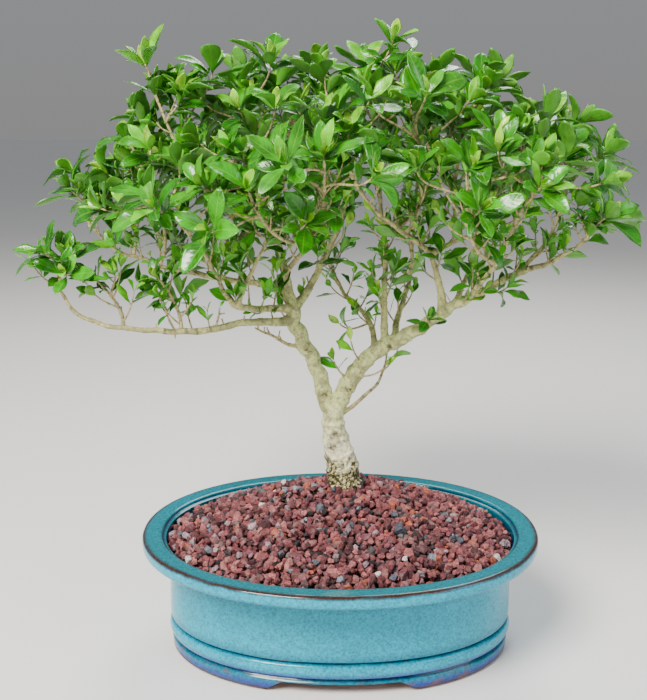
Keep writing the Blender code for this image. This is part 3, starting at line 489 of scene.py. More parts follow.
def finished(thing):
    """The object's mesh with its modifiers applied, as a new object in its place."""
    graph = bpy.context.evaluated_depsgraph_get()
    mesh = bpy.data.meshes.new_from_object(thing.evaluated_get(graph))
    name, finish = thing.name, list(thing.data.materials)
    bpy.data.objects.remove(thing)
    made = add_object(name, mesh)
    made.name = name
    mesh.name = name
    if not mesh.materials:
        for each in finish:
            mesh.materials.append(each)
    return made


def hand_over(thing, slot, *nodes):
    """The piece rides with the plant and stands for solid nodes, which it hides. The slot is not used."""
    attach(thing, BODY)
    if nodes:
        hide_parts(*nodes)


# ---------------------------------------------------------------- materials


def new_material(name):
    finish = bpy.data.materials.new(name)
    finish.use_nodes = True
    return finish, finish.node_tree, finish.node_tree.nodes["Principled BSDF"]


def add(tree, kind, inputs=(), output=0, stops=(), **settings):
    """Adds a node, sets its properties, then links or sets its inputs, and gives back one of its outputs.
    Stops are a ramp's (place, linear colour) pairs."""
    node = tree.nodes.new("ShaderNode" + kind)
    for key, value in settings.items():
        setattr(node, key, value)
    for k, (place, colour) in enumerate(stops):
        if k >= len(node.color_ramp.elements):
            node.color_ramp.elements.new(place)
        node.color_ramp.elements[k].position = place
        node.color_ramp.elements[k].color = (*colour, 1.0)
    for key, value in dict(inputs).items():
        if isinstance(value, bpy.types.NodeSocket):
            tree.links.new(value, node.inputs[key])
        else:
            node.inputs[key].default_value = value
    return node.outputs[output]


def grey(value):
    return (value, value, value)


def glaze_material(settings, stations):
    """Stoneware under a turquoise copper glaze that was dipped and fired: glassy, finely mottled, thin and
    brown on sharp edges, violet-blue where it pooled, and wiped off the feet."""
    finish, tree, shader = new_material("fired_turquoise_glaze")
    put = partial(add, tree)
    where = put("TexCoord", output="Object")
    up_wall = put("SeparateXYZ", {0: put("UVMap", uv_map="profile")}, output="Y")
    wander = put("TexNoise", {"Vector": where, "Scale": 1 / (14 * MM), "Detail": 4.0})
    place = put("Math", {0: wander, 1: 0.012, 2: up_wall}, operation="MULTIPLY_ADD")
    # The groove tone is near-black painted shade: in the turned grooves, together with glaze pooled darker
    # there, and alone under the inner lip and down the inner wall.
    tones = {
        "wall": settings.glaze, "deep": settings.glaze_deep, "rim": settings.glaze_rim,
        "violet": settings.glaze_violet, "groove": settings.groove_glaze_and_shade,
        "burnt": linear("3a221c"), "bare": linear("8a5a44"),
    }
    colour = put("ValToRGB", {0: place},
                 stops=[(share + 0.006, tuple(tones[tone])) for share, tone in stations])
    cloud = put("TexNoise", {"Vector": where, "Scale": 1 / (38 * MM), "Detail": 3.0})
    patch = put("ValToRGB", {0: cloud}, stops=[(0.45, grey(0.0)), (0.75, grey(0.30))])
    colour = put("Mix", {0: patch, 6: colour, 7: (*settings.glaze_deep, 1.0)}, 2, data_type="RGBA")
    # Fine mottling, 1 to 3 mm, where the glaze broke as it melted.
    speck = put("TexNoise", {"Vector": where, "Scale": 1 / (2.2 * MM), "Detail": 5.0, "Roughness": 0.7})
    speck = put("ValToRGB", {0: speck}, stops=[(0.34, grey(0.55)), (0.50, grey(1.0)), (0.66, grey(1.35))])
    colour = put("Mix", {0: 1.0, 6: colour, 7: speck}, 2, data_type="RGBA", blend_type="MULTIPLY")
    # Pinholes, where a bubble burst in the kiln.
    pin = put("TexVoronoi", {"Vector": where, "Scale": 1 / (7 * MM)}, output="Distance")
    pin = put("ValToRGB", {0: pin}, stops=[(0.0, grey(0.35)), (0.07, grey(1.0))])
    colour = put("Mix", {0: 0.7, 6: colour, 7: pin}, 2, data_type="RGBA", blend_type="MULTIPLY")
    # The feet were wiped, which left brown patches of bare clay.
    wiped = put("TexNoise", {"Vector": where, "Scale": 1 / (8 * MM), "Detail": 6.0, "Roughness": 0.65})
    wiped = put("ValToRGB", {0: wiped}, stops=[(0.56, grey(0.0)), (0.62, grey(0.8))])
    low = put("ValToRGB", {0: up_wall}, stops=[(stations[3][0], grey(0.9)), (stations[4][0], grey(0.0))])
    wiped = put("Math", {0: wiped, 1: low}, operation="MULTIPLY")
    colour = put("Mix", {0: wiped, 6: colour, 7: solid("6b4636")}, 2, data_type="RGBA")
    tree.links.new(colour, shader.inputs["Base Color"])
    # Bare clay and the burnt line are matt, and the glaze is glassy.
    matt = put("ValToRGB", {0: up_wall}, stops=[(0.0, grey(0.75)), (stations[1][0] * 0.9, grey(0.6)),
                                                (stations[2][0], grey(0.10))])
    rough = put("Math", {0: cloud, 1: 0.05, 2: matt}, operation="MULTIPLY_ADD")
    tree.links.new(rough, shader.inputs["Roughness"])
    ripple = put("TexNoise", {"Vector": where, "Scale": 1 / (26 * MM), "Detail": 2.0})
    ripple = put("Bump", {"Height": ripple, "Distance": 0.9 * MM, "Strength": 0.35})
    skin = put("TexNoise", {"Vector": where, "Scale": 1 / (1.6 * MM), "Detail": 3.0})
    skin = put("Bump", {"Height": skin, "Distance": 0.05 * MM, "Strength": 0.5, "Normal": ripple})
    tree.links.new(skin, shader.inputs["Normal"])
    shader.inputs["IOR"].default_value = 1.52
    shader.inputs["Specular IOR Level"].default_value = 0.36
    return finish


def stone_material():
    """Crushed lava, a glassy foam: matt, pitted, brick red where it was baked in air, with grey and
    black pieces."""
    finish, tree, shader = new_material("crushed_lava_stone")
    put = partial(add, tree)
    where = put("TexCoord", output="Object")
    own = put("Attribute", attribute_name="stone_colour", output="Color")
    grain = put("TexNoise", {"Vector": where, "Scale": 1 / (1.7 * MM), "Detail": 6.0, "Roughness": 0.7})
    grain = put("ValToRGB", {0: grain}, stops=[(0.32, grey(0.30)), (0.52, grey(0.95)), (0.70, grey(1.9))])
    colour = put("Mix", {0: 1.0, 6: own, 7: grain}, 2, data_type="RGBA", blend_type="MULTIPLY")
    # Pits of burst gas bubbles, about a millimetre wide, each darkened with painted shade in its hollow.
    pits = put("TexVoronoi", {"Vector": where, "Scale": 1 / (1.5 * MM)}, output="Distance")
    pit_shade = put("ValToRGB", {0: pits}, stops=[(0.12, grey(0.22)), (0.36, grey(1.0))])
    colour = put("Mix", {0: 0.8, 6: colour, 7: pit_shade}, 2, data_type="RGBA", blend_type="MULTIPLY")
    # Pale dust lies on some faces.
    dust = put("TexNoise", {"Vector": where, "Scale": 1 / (9 * MM), "Detail": 3.0})
    dust = put("ValToRGB", {0: dust}, stops=[(0.52, grey(0.0)), (0.72, grey(0.3))])
    colour = put("Mix", {0: dust, 6: colour, 7: solid("b09894")}, 2, data_type="RGBA")
    tree.links.new(colour, shader.inputs["Base Color"])
    shader.inputs["Roughness"].default_value = 0.85
    rough = put("TexNoise", {"Vector": where, "Scale": 1 / (2.4 * MM), "Detail": 5.0, "Roughness": 0.7})
    rough = put("Bump", {"Height": rough, "Distance": 0.9 * MM, "Strength": 0.9})
    rough = put("Bump", {"Height": pits, "Distance": 0.4 * MM, "Strength": 0.8, "Normal": rough})
    tree.links.new(rough, shader.inputs["Normal"])
    return finish


def bark_material(settings):
    """Gardenia bark: thin and smooth. Old wood is chalky cream with grey scale and moss on its foot, limbs
    are pale yellow-green, and twigs are tan with dark joints."""
    finish, tree, shader = new_material("smooth_gardenia_bark")
    put = partial(add, tree)
    where = put("TexCoord", output="Object")
    girth = put("Attribute", attribute_name="girth", output="Fac")
    along = put("Attribute", attribute_name="reach", output="Fac")
    knot = put("Attribute", attribute_name="knot", output="Fac")
    height = put("SeparateXYZ", {0: where}, output="Z")
    patch = put("TexNoise", {"Vector": where, "Scale": 1 / (15 * MM), "Detail": 5.0, "Roughness": 0.62})
    fine = put("TexNoise", {"Vector": where, "Scale": 1 / (3 * MM), "Detail": 6.0, "Roughness": 0.7})
    thick = put("Math", {0: patch, 1: 1.6 * MM, 2: girth}, operation="MULTIPLY_ADD")
    thick = put("Math", {0: thick, 1: 20 * MM}, operation="DIVIDE")
    colour = put("ValToRGB", {0: thick}, stops=[
        (0.06, tuple(settings.twig_colour)), (0.14, linear("c0b97f")), (0.26, tuple(settings.limb_colour)),
        (0.46, linear("d4d896")), (0.62, tuple(settings.trunk_colour))])
    scale = put("ValToRGB", {0: fine}, stops=[(0.36, grey(0.30)), (0.44, grey(0.72)), (0.50, grey(1.0)),
                                              (0.70, grey(1.15))])
    colour = put("Mix", {0: 0.8, 6: colour, 7: scale}, 2, data_type="RGBA", blend_type="MULTIPLY")
    weathered = put("ValToRGB", {0: patch}, stops=[(0.50, grey(0.0)), (0.57, grey(0.55))])
    colour = put("Mix", {0: weathered, 6: colour, 7: solid("857c5c")}, 2, data_type="RGBA")
    # Leaf scars run round the wood about every 9 mm, darkest on twigs.
    scar = put("Math", {0: patch, 1: 3 * MM, 2: along}, operation="MULTIPLY_ADD")
    scar = put("Math", {0: scar, 1: 4.5 * MM}, operation="PINGPONG")
    scar = put("Math", {0: scar, 1: 4.5 * MM}, operation="DIVIDE")
    scar = put("ValToRGB", {0: scar}, stops=[(0.0, grey(0.30)), (0.14, grey(0.75)), (0.24, grey(1.0))])
    weight = put("ValToRGB", {0: thick}, stops=[(0.08, grey(0.95)), (0.30, grey(0.45)), (0.55, grey(0.25))])
    colour = put("Mix", {0: weight, 6: colour, 7: scar}, 2, data_type="RGBA", blend_type="MULTIPLY")
    # Healed knots are dark at their rim, where the bark is broken.
    broken = put("ValToRGB", {0: fine}, stops=[(0.40, grey(1.0)), (0.58, grey(0.25))])
    broken = put("Math", {0: knot, 1: broken}, operation="MULTIPLY")
    colour = put("Mix", {0: broken, 6: colour, 7: solid("3f3020")}, 2, data_type="RGBA")
    # Soil splash and moss on the foot of the trunk.
    low = put("Math", {0: patch, 1: 95 * MM, 2: 122 * MM}, operation="MULTIPLY_ADD")
    low = put("Math", {0: low, 1: height}, operation="SUBTRACT")
    low = put("Math", {0: low, 1: 1 / (12 * MM)}, operation="MULTIPLY", use_clamp=True)
    splash = put("ValToRGB", {0: fine}, stops=[(0.42, linear("231c12")), (0.50, linear("5f5a2a")),
                                               (0.57, linear("d2c89c"))])
    colour = put("Mix", {0: low, 6: colour, 7: splash}, 2, data_type="RGBA")
    tree.links.new(colour, shader.inputs["Base Color"])
    shader.inputs["Roughness"].default_value = 0.70
    shader.inputs["Specular IOR Level"].default_value = 0.35
    coarse = put("Bump", {"Height": patch, "Distance": 2.2 * MM, "Strength": 0.8})
    flakes = put("Math", {0: fine, 1: scar}, operation="MULTIPLY")
    flakes = put("Bump", {"Height": flakes, "Distance": 0.6 * MM, "Strength": 0.8, "Normal": coarse})
    tree.links.new(flakes, shader.inputs["Normal"])
    return finish


def leaf_material(settings):
    """A living gardenia leaf: waxy and glossy above with faintly sunken side veins, paler and duller below,
    and yellow-green when it has just opened."""
    finish, tree, shader = new_material("waxy_gardenia_leaf")
    put = partial(add, tree)
    where = put("TexCoord", output="Object")
    blade = put("UVMap", uv_map="blade")
    out = put("SeparateXYZ", {0: blade}, output="X")
    up_blade = put("SeparateXYZ", {0: blade}, output="Y")
    own = put("Attribute", attribute_name="growth", output="Color")
    age, chance, upper = (put("SeparateColor", {0: own}, output=k) for k in range(3))
    across = put("Math", {0: out, 1: 2.0, 2: -1.0}, operation="MULTIPLY_ADD")
    across = put("Math", {0: across}, operation="ABSOLUTE")
    colour = put("ValToRGB", {0: age}, stops=[
        (0.05, tuple(settings.young_leaf)), (0.34, linear("78cc1e")), (0.62, tuple(settings.leaf)),
        (0.95, tuple(settings.old_leaf))])
    lively = put("Math", {0: chance, 1: 0.6}, operation="MULTIPLY")
    colour = put("Mix", {0: lively, 6: colour, 7: solid("48a80e")}, 2, data_type="RGBA")
    # Slow changes of tone inside a blade, 12 mm or so.
    tone = put("TexNoise", {"Vector": where, "Scale": 1 / (12 * MM), "Detail": 3.0})
    tone = put("ValToRGB", {0: tone}, stops=[(0.34, grey(0.50)), (0.55, grey(1.0)), (0.75, grey(1.35))])
    colour = put("Mix", {0: 1.0, 6: colour, 7: tone}, 2, data_type="RGBA", blend_type="MULTIPLY")
    # Side veins leave the midrib at a slant, eight or nine to a side.
    slant = put("Math", {0: across, 1: -1.8, 2: 0.0}, operation="MULTIPLY_ADD")
    slant = put("Math", {0: up_blade, 1: 8.5, 2: slant}, operation="MULTIPLY_ADD")
    vein = put("Math", {0: slant, 1: 0.5}, operation="PINGPONG")
    vein_line = put("ValToRGB", {0: vein}, stops=[(0.0, grey(0.10)), (0.14, grey(0.0))])
    rib_line = put("ValToRGB", {0: across}, stops=[(0.02, grey(0.26)), (0.09, grey(0.0))])
    lines = put("Math", {0: vein_line, 1: rib_line}, operation="MAXIMUM")
    colour = put("Mix", {0: lines, 6: colour, 7: solid("8ec840")}, 2, data_type="RGBA")
    lower = put("Math", {0: upper, 1: -0.40, 2: 0.40}, operation="MULTIPLY_ADD")
    colour = put("Mix", {0: lower, 6: colour, 7: solid("6dab38")}, 2, data_type="RGBA")
    tree.links.new(colour, shader.inputs["Base Color"])
    gloss = put("Math", {0: upper, 1: -0.26, 2: 0.45}, operation="MULTIPLY_ADD")
    gloss = put("Math", {0: chance, 1: 0.09, 2: gloss}, operation="MULTIPLY_ADD")
    tree.links.new(gloss, shader.inputs["Roughness"])
    pillow = put("ValToRGB", {0: vein}, stops=[(0.0, grey(0.0)), (0.22, grey(0.8)), (0.5, grey(1.0))])
    pillow = put("Bump", {"Height": pillow, "Distance": 0.15 * MM, "Strength": 0.5})
    tree.links.new(pillow, shader.inputs["Normal"])
    shader.inputs["IOR"].default_value = 1.47
    shader.inputs["Coat Weight"].default_value = 0.26
    shader.inputs["Coat Roughness"].default_value = 0.15
    shader.inputs["Subsurface Weight"].default_value = 0.10
    shader.inputs["Subsurface Radius"].default_value = (0.4, 1.0, 0.2)
    shader.inputs["Subsurface Scale"].default_value = 1.2 * MM
    return finish


def soil_material():
    """Potting mix: composted bark and loam, moist, dark and crumbly."""
    finish, tree, shader = new_material("composted_bark_mix")
    put = partial(add, tree)
    where = put("TexCoord", output="Object")
    crumbs = put("TexNoise", {"Vector": where, "Scale": 1 / (3 * MM), "Detail": 6.0, "Roughness": 0.7})
    colour = put("ValToRGB", {0: crumbs}, stops=[(0.35, linear("17100c")), (0.55, linear("38271c")),
                                                 (0.75, linear("6b5138"))])
    tree.links.new(colour, shader.inputs["Base Color"])
    shader.inputs["Roughness"].default_value = 0.93
    tree.links.new(put("Bump", {"Height": crumbs, "Distance": 1.5 * MM}), shader.inputs["Normal"])
    return finish


def mesh_plastic_material():
    """Drainage screen: black polypropylene moulded as a net, satin from the mould."""
    finish, tree, shader = new_material("moulded_black_polypropylene")
    put = partial(add, tree)
    skin = put("TexNoise", {"Vector": put("TexCoord", output="Object"), "Scale": 1 / (0.8 * MM), "Detail": 2.0})
    colour = put("ValToRGB", {0: skin}, stops=[(0.3, linear("141416")), (0.7, linear("26262a"))])
    tree.links.new(colour, shader.inputs["Base Color"])
    satin = put("Math", {0: skin, 1: 0.15, 2: 0.42}, operation="MULTIPLY_ADD")
    tree.links.new(satin, shader.inputs["Roughness"])
    tree.links.new(put("Bump", {"Height": skin, "Distance": 0.05 * MM, "Strength": 0.4}),
                   shader.inputs["Normal"])
    return finish


def wire_material():
    """Screen clip: soft drawn aluminium wire, with fine draw lines and a dull oxide."""
    finish, tree, shader = new_material("drawn_aluminium_wire")
    put = partial(add, tree)
    drawn = put("TexNoise", {"Vector": put("TexCoord", output="Object"), "Scale": 1 / (0.6 * MM),
                             "Detail": 3.0})
    colour = put("ValToRGB", {0: drawn}, stops=[(0.3, linear("8b8d90")), (0.7, linear("b9bbbd"))])
    tree.links.new(colour, shader.inputs["Base Color"])
    shader.inputs["Metallic"].default_value = 1.0
    dull = put("Math", {0: drawn, 1: 0.2, 2: 0.3}, operation="MULTIPLY_ADD")
    tree.links.new(dull, shader.inputs["Roughness"])
    return finish


# ---------------------------------------------------------------- pot and its dressing


def oval(setback, tuck, count, half_length=RIM_HALF_LENGTH, half_width=RIM_HALF_WIDTH):
    """Superellipse that stands in from the rim's edge: |x / a| ** p + |y / b| ** p = 1. The setback and
    tuck may be arrays, which gives one oval for each."""
    setback, tuck = np.atleast_1d(setback)[:, None], np.atleast_1d(tuck)[:, None]
    a, b = half_length - setback, half_width - setback - tuck * FRONT_TUCK
    turn = np.arange(count) * 2 * math.pi / count
    c, s = np.cos(turn), np.sin(turn)
    return np.stack([a * np.sign(c) * np.abs(c) ** (2 / OVAL_POWER),
                     b * np.sign(s) * np.abs(s) ** (2 / OVAL_POWER)], axis=-1)


def pot_profile():
    """The profile as a smooth curve (a cubic Hermite one), the share of its length at each point, and the
    share and glaze of each row of the table."""
    knots = np.array([row[:3] for row in POT_PROFILE])
    steps_each = [max(2, min(PROFILE_STEPS, int(np.linalg.norm(b - a) / PROFILE_SPACING)))
                  for a, b in zip(knots, knots[1:])]
    ends = np.vstack([knots[0], knots, knots[-1]])
    fine = []
    for a, b, c, d, steps in zip(ends, ends[1:], ends[2:], ends[3:], steps_each):
        t = (np.arange(steps) / steps)[:, None]
        slope_b, slope_c = PROFILE_TENSION * (c - a), PROFILE_TENSION * (d - b)
        fine.append((2 * t ** 3 - 3 * t ** 2 + 1) * b + (t ** 3 - 2 * t ** 2 + t) * slope_b
                    + (3 * t ** 2 - 2 * t ** 3) * c + (t ** 3 - t ** 2) * slope_c)
    profile = np.vstack(fine + [knots[-1:]])
    reach = route_length(profile[:, [0, 2]])
    reach /= reach[-1]
    marks = np.concatenate([[0], np.cumsum(steps_each)])
    return profile, reach, [(float(reach[m]), row[3]) for m, row in zip(marks, POT_PROFILE)]


def upright(outline, middle, low, high):
    """Points and faces of a solid whose sides stand straight up from an outline about a middle."""
    count = len(outline)
    rings = [np.column_stack([outline + middle, np.full(count, z)]) for z in (low, high)]
    quads, fans = ring_faces(2, count)
    return np.concatenate([*rings, [(*middle, low), (*middle, high)]]), quads.tolist() + fans.tolist()


def pot_cutters():
    """The recess under the floor, the opening between the feet and the drainage holes, as solids to
    take away."""
    made = [upright(oval(POT_PROFILE[0][0] + FOOT_RING_WIDTH, 1.0, 96)[0], (0, 0), CUT_BELOW, FLOOR_UNDERSIDE)]
    slope = (FOOT_GAP_SOLE - FOOT_GAP_TOP) / FLOOR_UNDERSIDE
    low = FOOT_GAP_SOLE - slope * CUT_BELOW
    corners = np.array([(x, y, z) for y in (-RIM_HALF_WIDTH, RIM_HALF_WIDTH)
                        for x, z in ((-low, CUT_BELOW), (low, CUT_BELOW), (FOOT_GAP_TOP, FLOOR_UNDERSIDE),
                                     (-FOOT_GAP_TOP, FLOOR_UNDERSIDE))])
    made.append((corners, [(0, 1, 2, 3), (7, 6, 5, 4), (0, 4, 5, 1), (1, 5, 6, 2), (2, 6, 7, 3), (3, 7, 4, 0)]))
    turn = np.arange(40) * 2 * math.pi / 40
    circle = DRAIN_HOLE_RADIUS * np.column_stack([np.cos(turn), np.sin(turn)])
    made += [upright(circle, (x, 0), 0.005, FLOOR_TOP + 0.004) for x in (-DRAIN_HOLE_X, DRAIN_HOLE_X)]
    return made


def make_pot(settings):
    """The pot's wall: the oval carried up the outside of the profile, over the rim and down the inside."""
    profile, reach, stations = pot_profile()
    plan = oval(profile[:, 0], profile[:, 1], POT_DIVISIONS)
    heights = np.broadcast_to(profile[:, 2][:, None, None], plan.shape[:2] + (1,))
    rings = np.concatenate([plan, heights], axis=-1)
    poles = np.array([(0, 0, profile[0, 2]), (0, 0, profile[-1, 2])])
    points = np.concatenate([rings.reshape(-1, 3), poles]) + POT_MIDDLE
    quads, fans = ring_faces(len(profile), POT_DIVISIONS)
    mesh = new_mesh("pot_wall", points, quads.tolist() + fans.tolist())
    around = np.arange(POT_DIVISIONS) / POT_DIVISIONS
    uv = np.stack(np.broadcast_arrays(around[None, :], reach[:, None]), axis=-1).reshape(-1, 2)
    point_uv(mesh, "profile", np.concatenate([uv, [(0, 0), (0, 1)]]))
    pot = add_object("glazed_pot", mesh, glaze_material(settings, stations))
    tools = []
    for cut_points, faces in pot_cutters():
        tool = add_object("pot_cutter", new_mesh("pot_cutter", cut_points + POT_MIDDLE, faces, smooth=False))
        taken = pot.modifiers.new("cut", "BOOLEAN")
        taken.operation = "DIFFERENCE"
        taken.solver = "EXACT"
        taken.object = tool
        tools.append(tool)
    pot = finished(pot)
    for tool in tools:
        bpy.data.objects.remove(tool)
    pot.data.set_sharp_from_angle(angle=math.radians(42))
    hand_over(pot, "turquoise_glaze", "pot")


def mound_share(x, y):
    """Share of the way from the crest to the pot's wall, and the distance to the wall, for points of
    the plan."""
    edge = oval(MOUND_SETBACK, 0.1, 720)[0] - CREST
    heading = np.arctan2(edge[:, 1], edge[:, 0])
    order = np.argsort(heading)
    wall = np.interp(np.arctan2(y - CREST[1], x - CREST[0]), heading[order],
                     np.linalg.norm(edge, axis=1)[order], period=2 * math.pi)
    out = np.hypot(x - CREST[0], y - CREST[1])
    return out / wall, wall - out


def mound_height(share):
    """The dressing rises from the wall to its crest as 1 - share ** power."""
    return MOUND_EDGE + MOUND_RISE * (1 - np.clip(share, 0, 1) ** MOUND_POWER)


def lattice(spacing, offset, rng):
    """Places on a triangular lattice over the pot, each moved by up to a third of the spacing."""
    across = np.arange(-RIM_HALF_LENGTH, RIM_HALF_LENGTH, spacing)
    deep = np.arange(-RIM_HALF_WIDTH, RIM_HALF_WIDTH, spacing * math.sqrt(3) / 2)
    x, y = np.meshgrid(across, deep)
    x[::2] += spacing / 2
    x, y = x.ravel() + offset, y.ravel() + offset
    return x + rng.uniform(-0.34, 0.34, x.shape) * spacing, y + rng.uniform(-0.34, 0.34, y.shape) * spacing


def random_turns(rng, count):
    """Rotation matrices from unit quaternions."""
    quaternions = rng.normal(size=(count, 4))
    w, x, y, z = (quaternions / np.linalg.norm(quaternions, axis=1, keepdims=True)).T
    return np.stack([1 - 2 * (y * y + z * z), 2 * (x * y - z * w), 2 * (x * z + y * w),
                     2 * (x * y + z * w), 1 - 2 * (x * x + z * z), 2 * (y * z - x * w),
                     2 * (x * z - y * w), 2 * (y * z + x * w),
                     1 - 2 * (x * x + y * y)], axis=-1).reshape(-1, 3, 3)


def crushed_stone(rng):
    """Points and faces of a broken stone: the hull of random points near a sphere, which are its corners."""
    directions = rng.normal(size=(STONE_CORNERS, 3))
    directions /= np.linalg.norm(directions, axis=1, keepdims=True)
    corners = directions * rng.uniform(0.74, 1.1, (STONE_CORNERS, 1))
    corners = corners * rng.uniform((0.8, 0.7, 0.6), (1.2, 1.0, 0.8))
    made = bmesh.new()
    for corner in corners:
        made.verts.new(corner)
    hull = bmesh.ops.convex_hull(made, input=made.verts)
    bmesh.ops.delete(made, geom=list({*hull["geom_interior"], *hull["geom_unused"]}), context="VERTS")
    bmesh.ops.triangulate(made, faces=made.faces)
    made.verts.index_update()
    points = np.array([v.co for v in made.verts])
    faces = np.array([[v.index for v in f.verts] for f in made.faces])
    made.free()
    return points, faces


def make_stones(settings):
    """The dressing of loose stones: a top layer and a lower one that shows between its stones."""
    rng = np.random.default_rng(STONE_SEED)
    kinds = [crushed_stone(rng) for _ in range(STONE_KINDS)]
    places, sizes = [], []
    for sunk, offset, growth in ((1.4 * MM, 0.0, 1.0), (6.0 * MM, settings.spacing / 2, 1.1)):
        x, y = lattice(settings.spacing, offset, rng)
        size = np.exp(rng.normal(math.log(settings.stone_size), 0.2, len(x))) * growth / 2
        share, to_wall = mound_share(x, y)
        trunk = np.hypot(x - TRUNK[2][0], y - TRUNK[2][1])
        kept = (to_wall > size * 0.75) & (trunk > 13 * MM)
        z = mound_height(share) - sunk + rng.uniform(-1.3, 1.3, len(x)) * MM
        places.append(np.column_stack([x, y, z])[kept])
        sizes.append(size[kept])
    places, sizes = np.concatenate(places) + POT_MIDDLE, np.concatenate(sizes)
    count = len(places)
    turns = random_turns(rng, count)
    palette = np.array([linear(code) for code, _ in STONE_COLOURS])
    odds = np.array([share for _, share in STONE_COLOURS])
    tint = palette[rng.choice(len(palette), count, p=odds / odds.sum())] * rng.uniform(0.75, 1.3, (count, 1))
    kind_of = rng.integers(0, STONE_KINDS, count)
    points, faces, colours, start = [], [], [], 0
    for kind, (corners, sides) in enumerate(kinds):
        chosen = kind_of == kind
        copies = int(chosen.sum())
        turned = np.einsum("nij,vj->nvi", turns[chosen], corners) * sizes[chosen][:, None, None]
        points.append((turned + places[chosen][:, None]).reshape(-1, 3))
        faces.append(repeated(sides, copies, len(corners)) + start)
        colours.append(np.repeat(tint[chosen], len(corners), axis=0))
        start += copies * len(corners)
    mesh = new_mesh("lava_stones", np.concatenate(points), np.concatenate(faces).tolist(), smooth=False)
    colours = np.concatenate(colours)
    point_attribute(mesh, "stone_colour", "FLOAT_COLOR", np.column_stack([colours, np.ones(len(colours))]))
    stones = add_object("lava_stones", mesh, stone_material())
    hand_over(stones, "lava_stone", "lava_stone_bed")


# ---------------------------------------------------------------- wood


def point_on(rows, share):
    """Point, direction and radius of a route at a share of its length."""
    reach = route_length(rows[:, :3])
    reach /= reach[-1]
    row = np.array([np.interp(share, reach, rows[:, k]) for k in range(4)])
    k = min(int(np.searchsorted(reach, share, side="right")) - 1, len(rows) - 2)
    return row[:3], unit(rows[k + 1, :3] - rows[k, :3]), row[3]


def wood_routes(spacing):
    """Every route as rows of (x, y, z, radius)."""
    routes = {"trunk": smooth_route(TRUNK, spacing)}
    routes.update((name, smooth_route(route, spacing)) for name, route in LIMBS)
    return routes


def root_swell(turn, height):
    """Radius factors of the trunk round a ring: lobes where the roots leave it, fading out above the stone."""
    fade = np.clip((ROOT_FLARE_TOP - height) / (ROOT_FLARE_TOP - TRUNK[0][2]), 0, 1)[:, None]
    return 1 + ROOT_FLARE * fade * (0.5 + 0.5 * np.cos(ROOT_LOBES * turn[None] + 0.6))


def limb_tube(name, rows, settings):
    """A limb as a tube with a collar at its foot, where it swells into the wood that carries it: the radius
    is multiplied by 1 + 0.4 * exp(-distance / 2.2 radii). Old joints are small swellings about every 15
    mm."""
    sides = settings.limb_sides
    turn = np.arange(sides) * 2 * math.pi / sides
    reach = route_length(rows[:, :3])
    radii = rows[:, 3].copy()
    if name == "trunk":
        swell = root_swell(turn, rows[:, 2])
    else:
        distance = np.clip(reach - radii[0] * 1.2, 0, None)
        collar = 0.0 if name in MAIN_LIMBS else 0.40
        radii = radii * (1 + collar * np.exp(-distance / (2.2 * radii[0])))
        swell = np.ones((len(rows), sides))
        # The line of a limb wanders a little at its old joints.
        wander = np.sin(reach[:, None] * (290, 350, 250) + (len(name), len(rows), 0)) * 0.30
        rows = rows + np.column_stack([wander * radii[:, None] * np.linspace(0, 1, len(rows))[:, None],
                                       np.zeros(len(rows))])
    phase = sum(map(ord, name)) % 15 * MM
    joints = 0.15 * np.exp(-(((reach + phase) % JOINT_SPACING - JOINT_SPACING / 2) / JOINT_WIDTH) ** 2)
    lean = (0.05 * np.cos(turn[None] * 2 + reach[:, None] * 60)
            + 0.04 * np.cos(turn[None] * 3 - reach[:, None] * 90))
    reach_out = radii[:, None] * swell * (1 + joints[:, None] + lean) + settings.bark_spare
    return (tube(rows[:, :3] + POT_MIDDLE, reach_out, sides), *ring_faces(len(rows), sides))


def nearest_rows(points, rows):
    """Index of the nearest row of the routes for each point, found in blocks."""
    found = np.empty(len(points), int)
    for start in range(0, len(points), 4000):
        block = points[start:start + 4000]
        gap = np.linalg.norm(block[:, None] - rows[None, :, :3], axis=2) - rows[None, :, 3]
        found[start:start + 4000] = gap.argmin(axis=1)
    return found


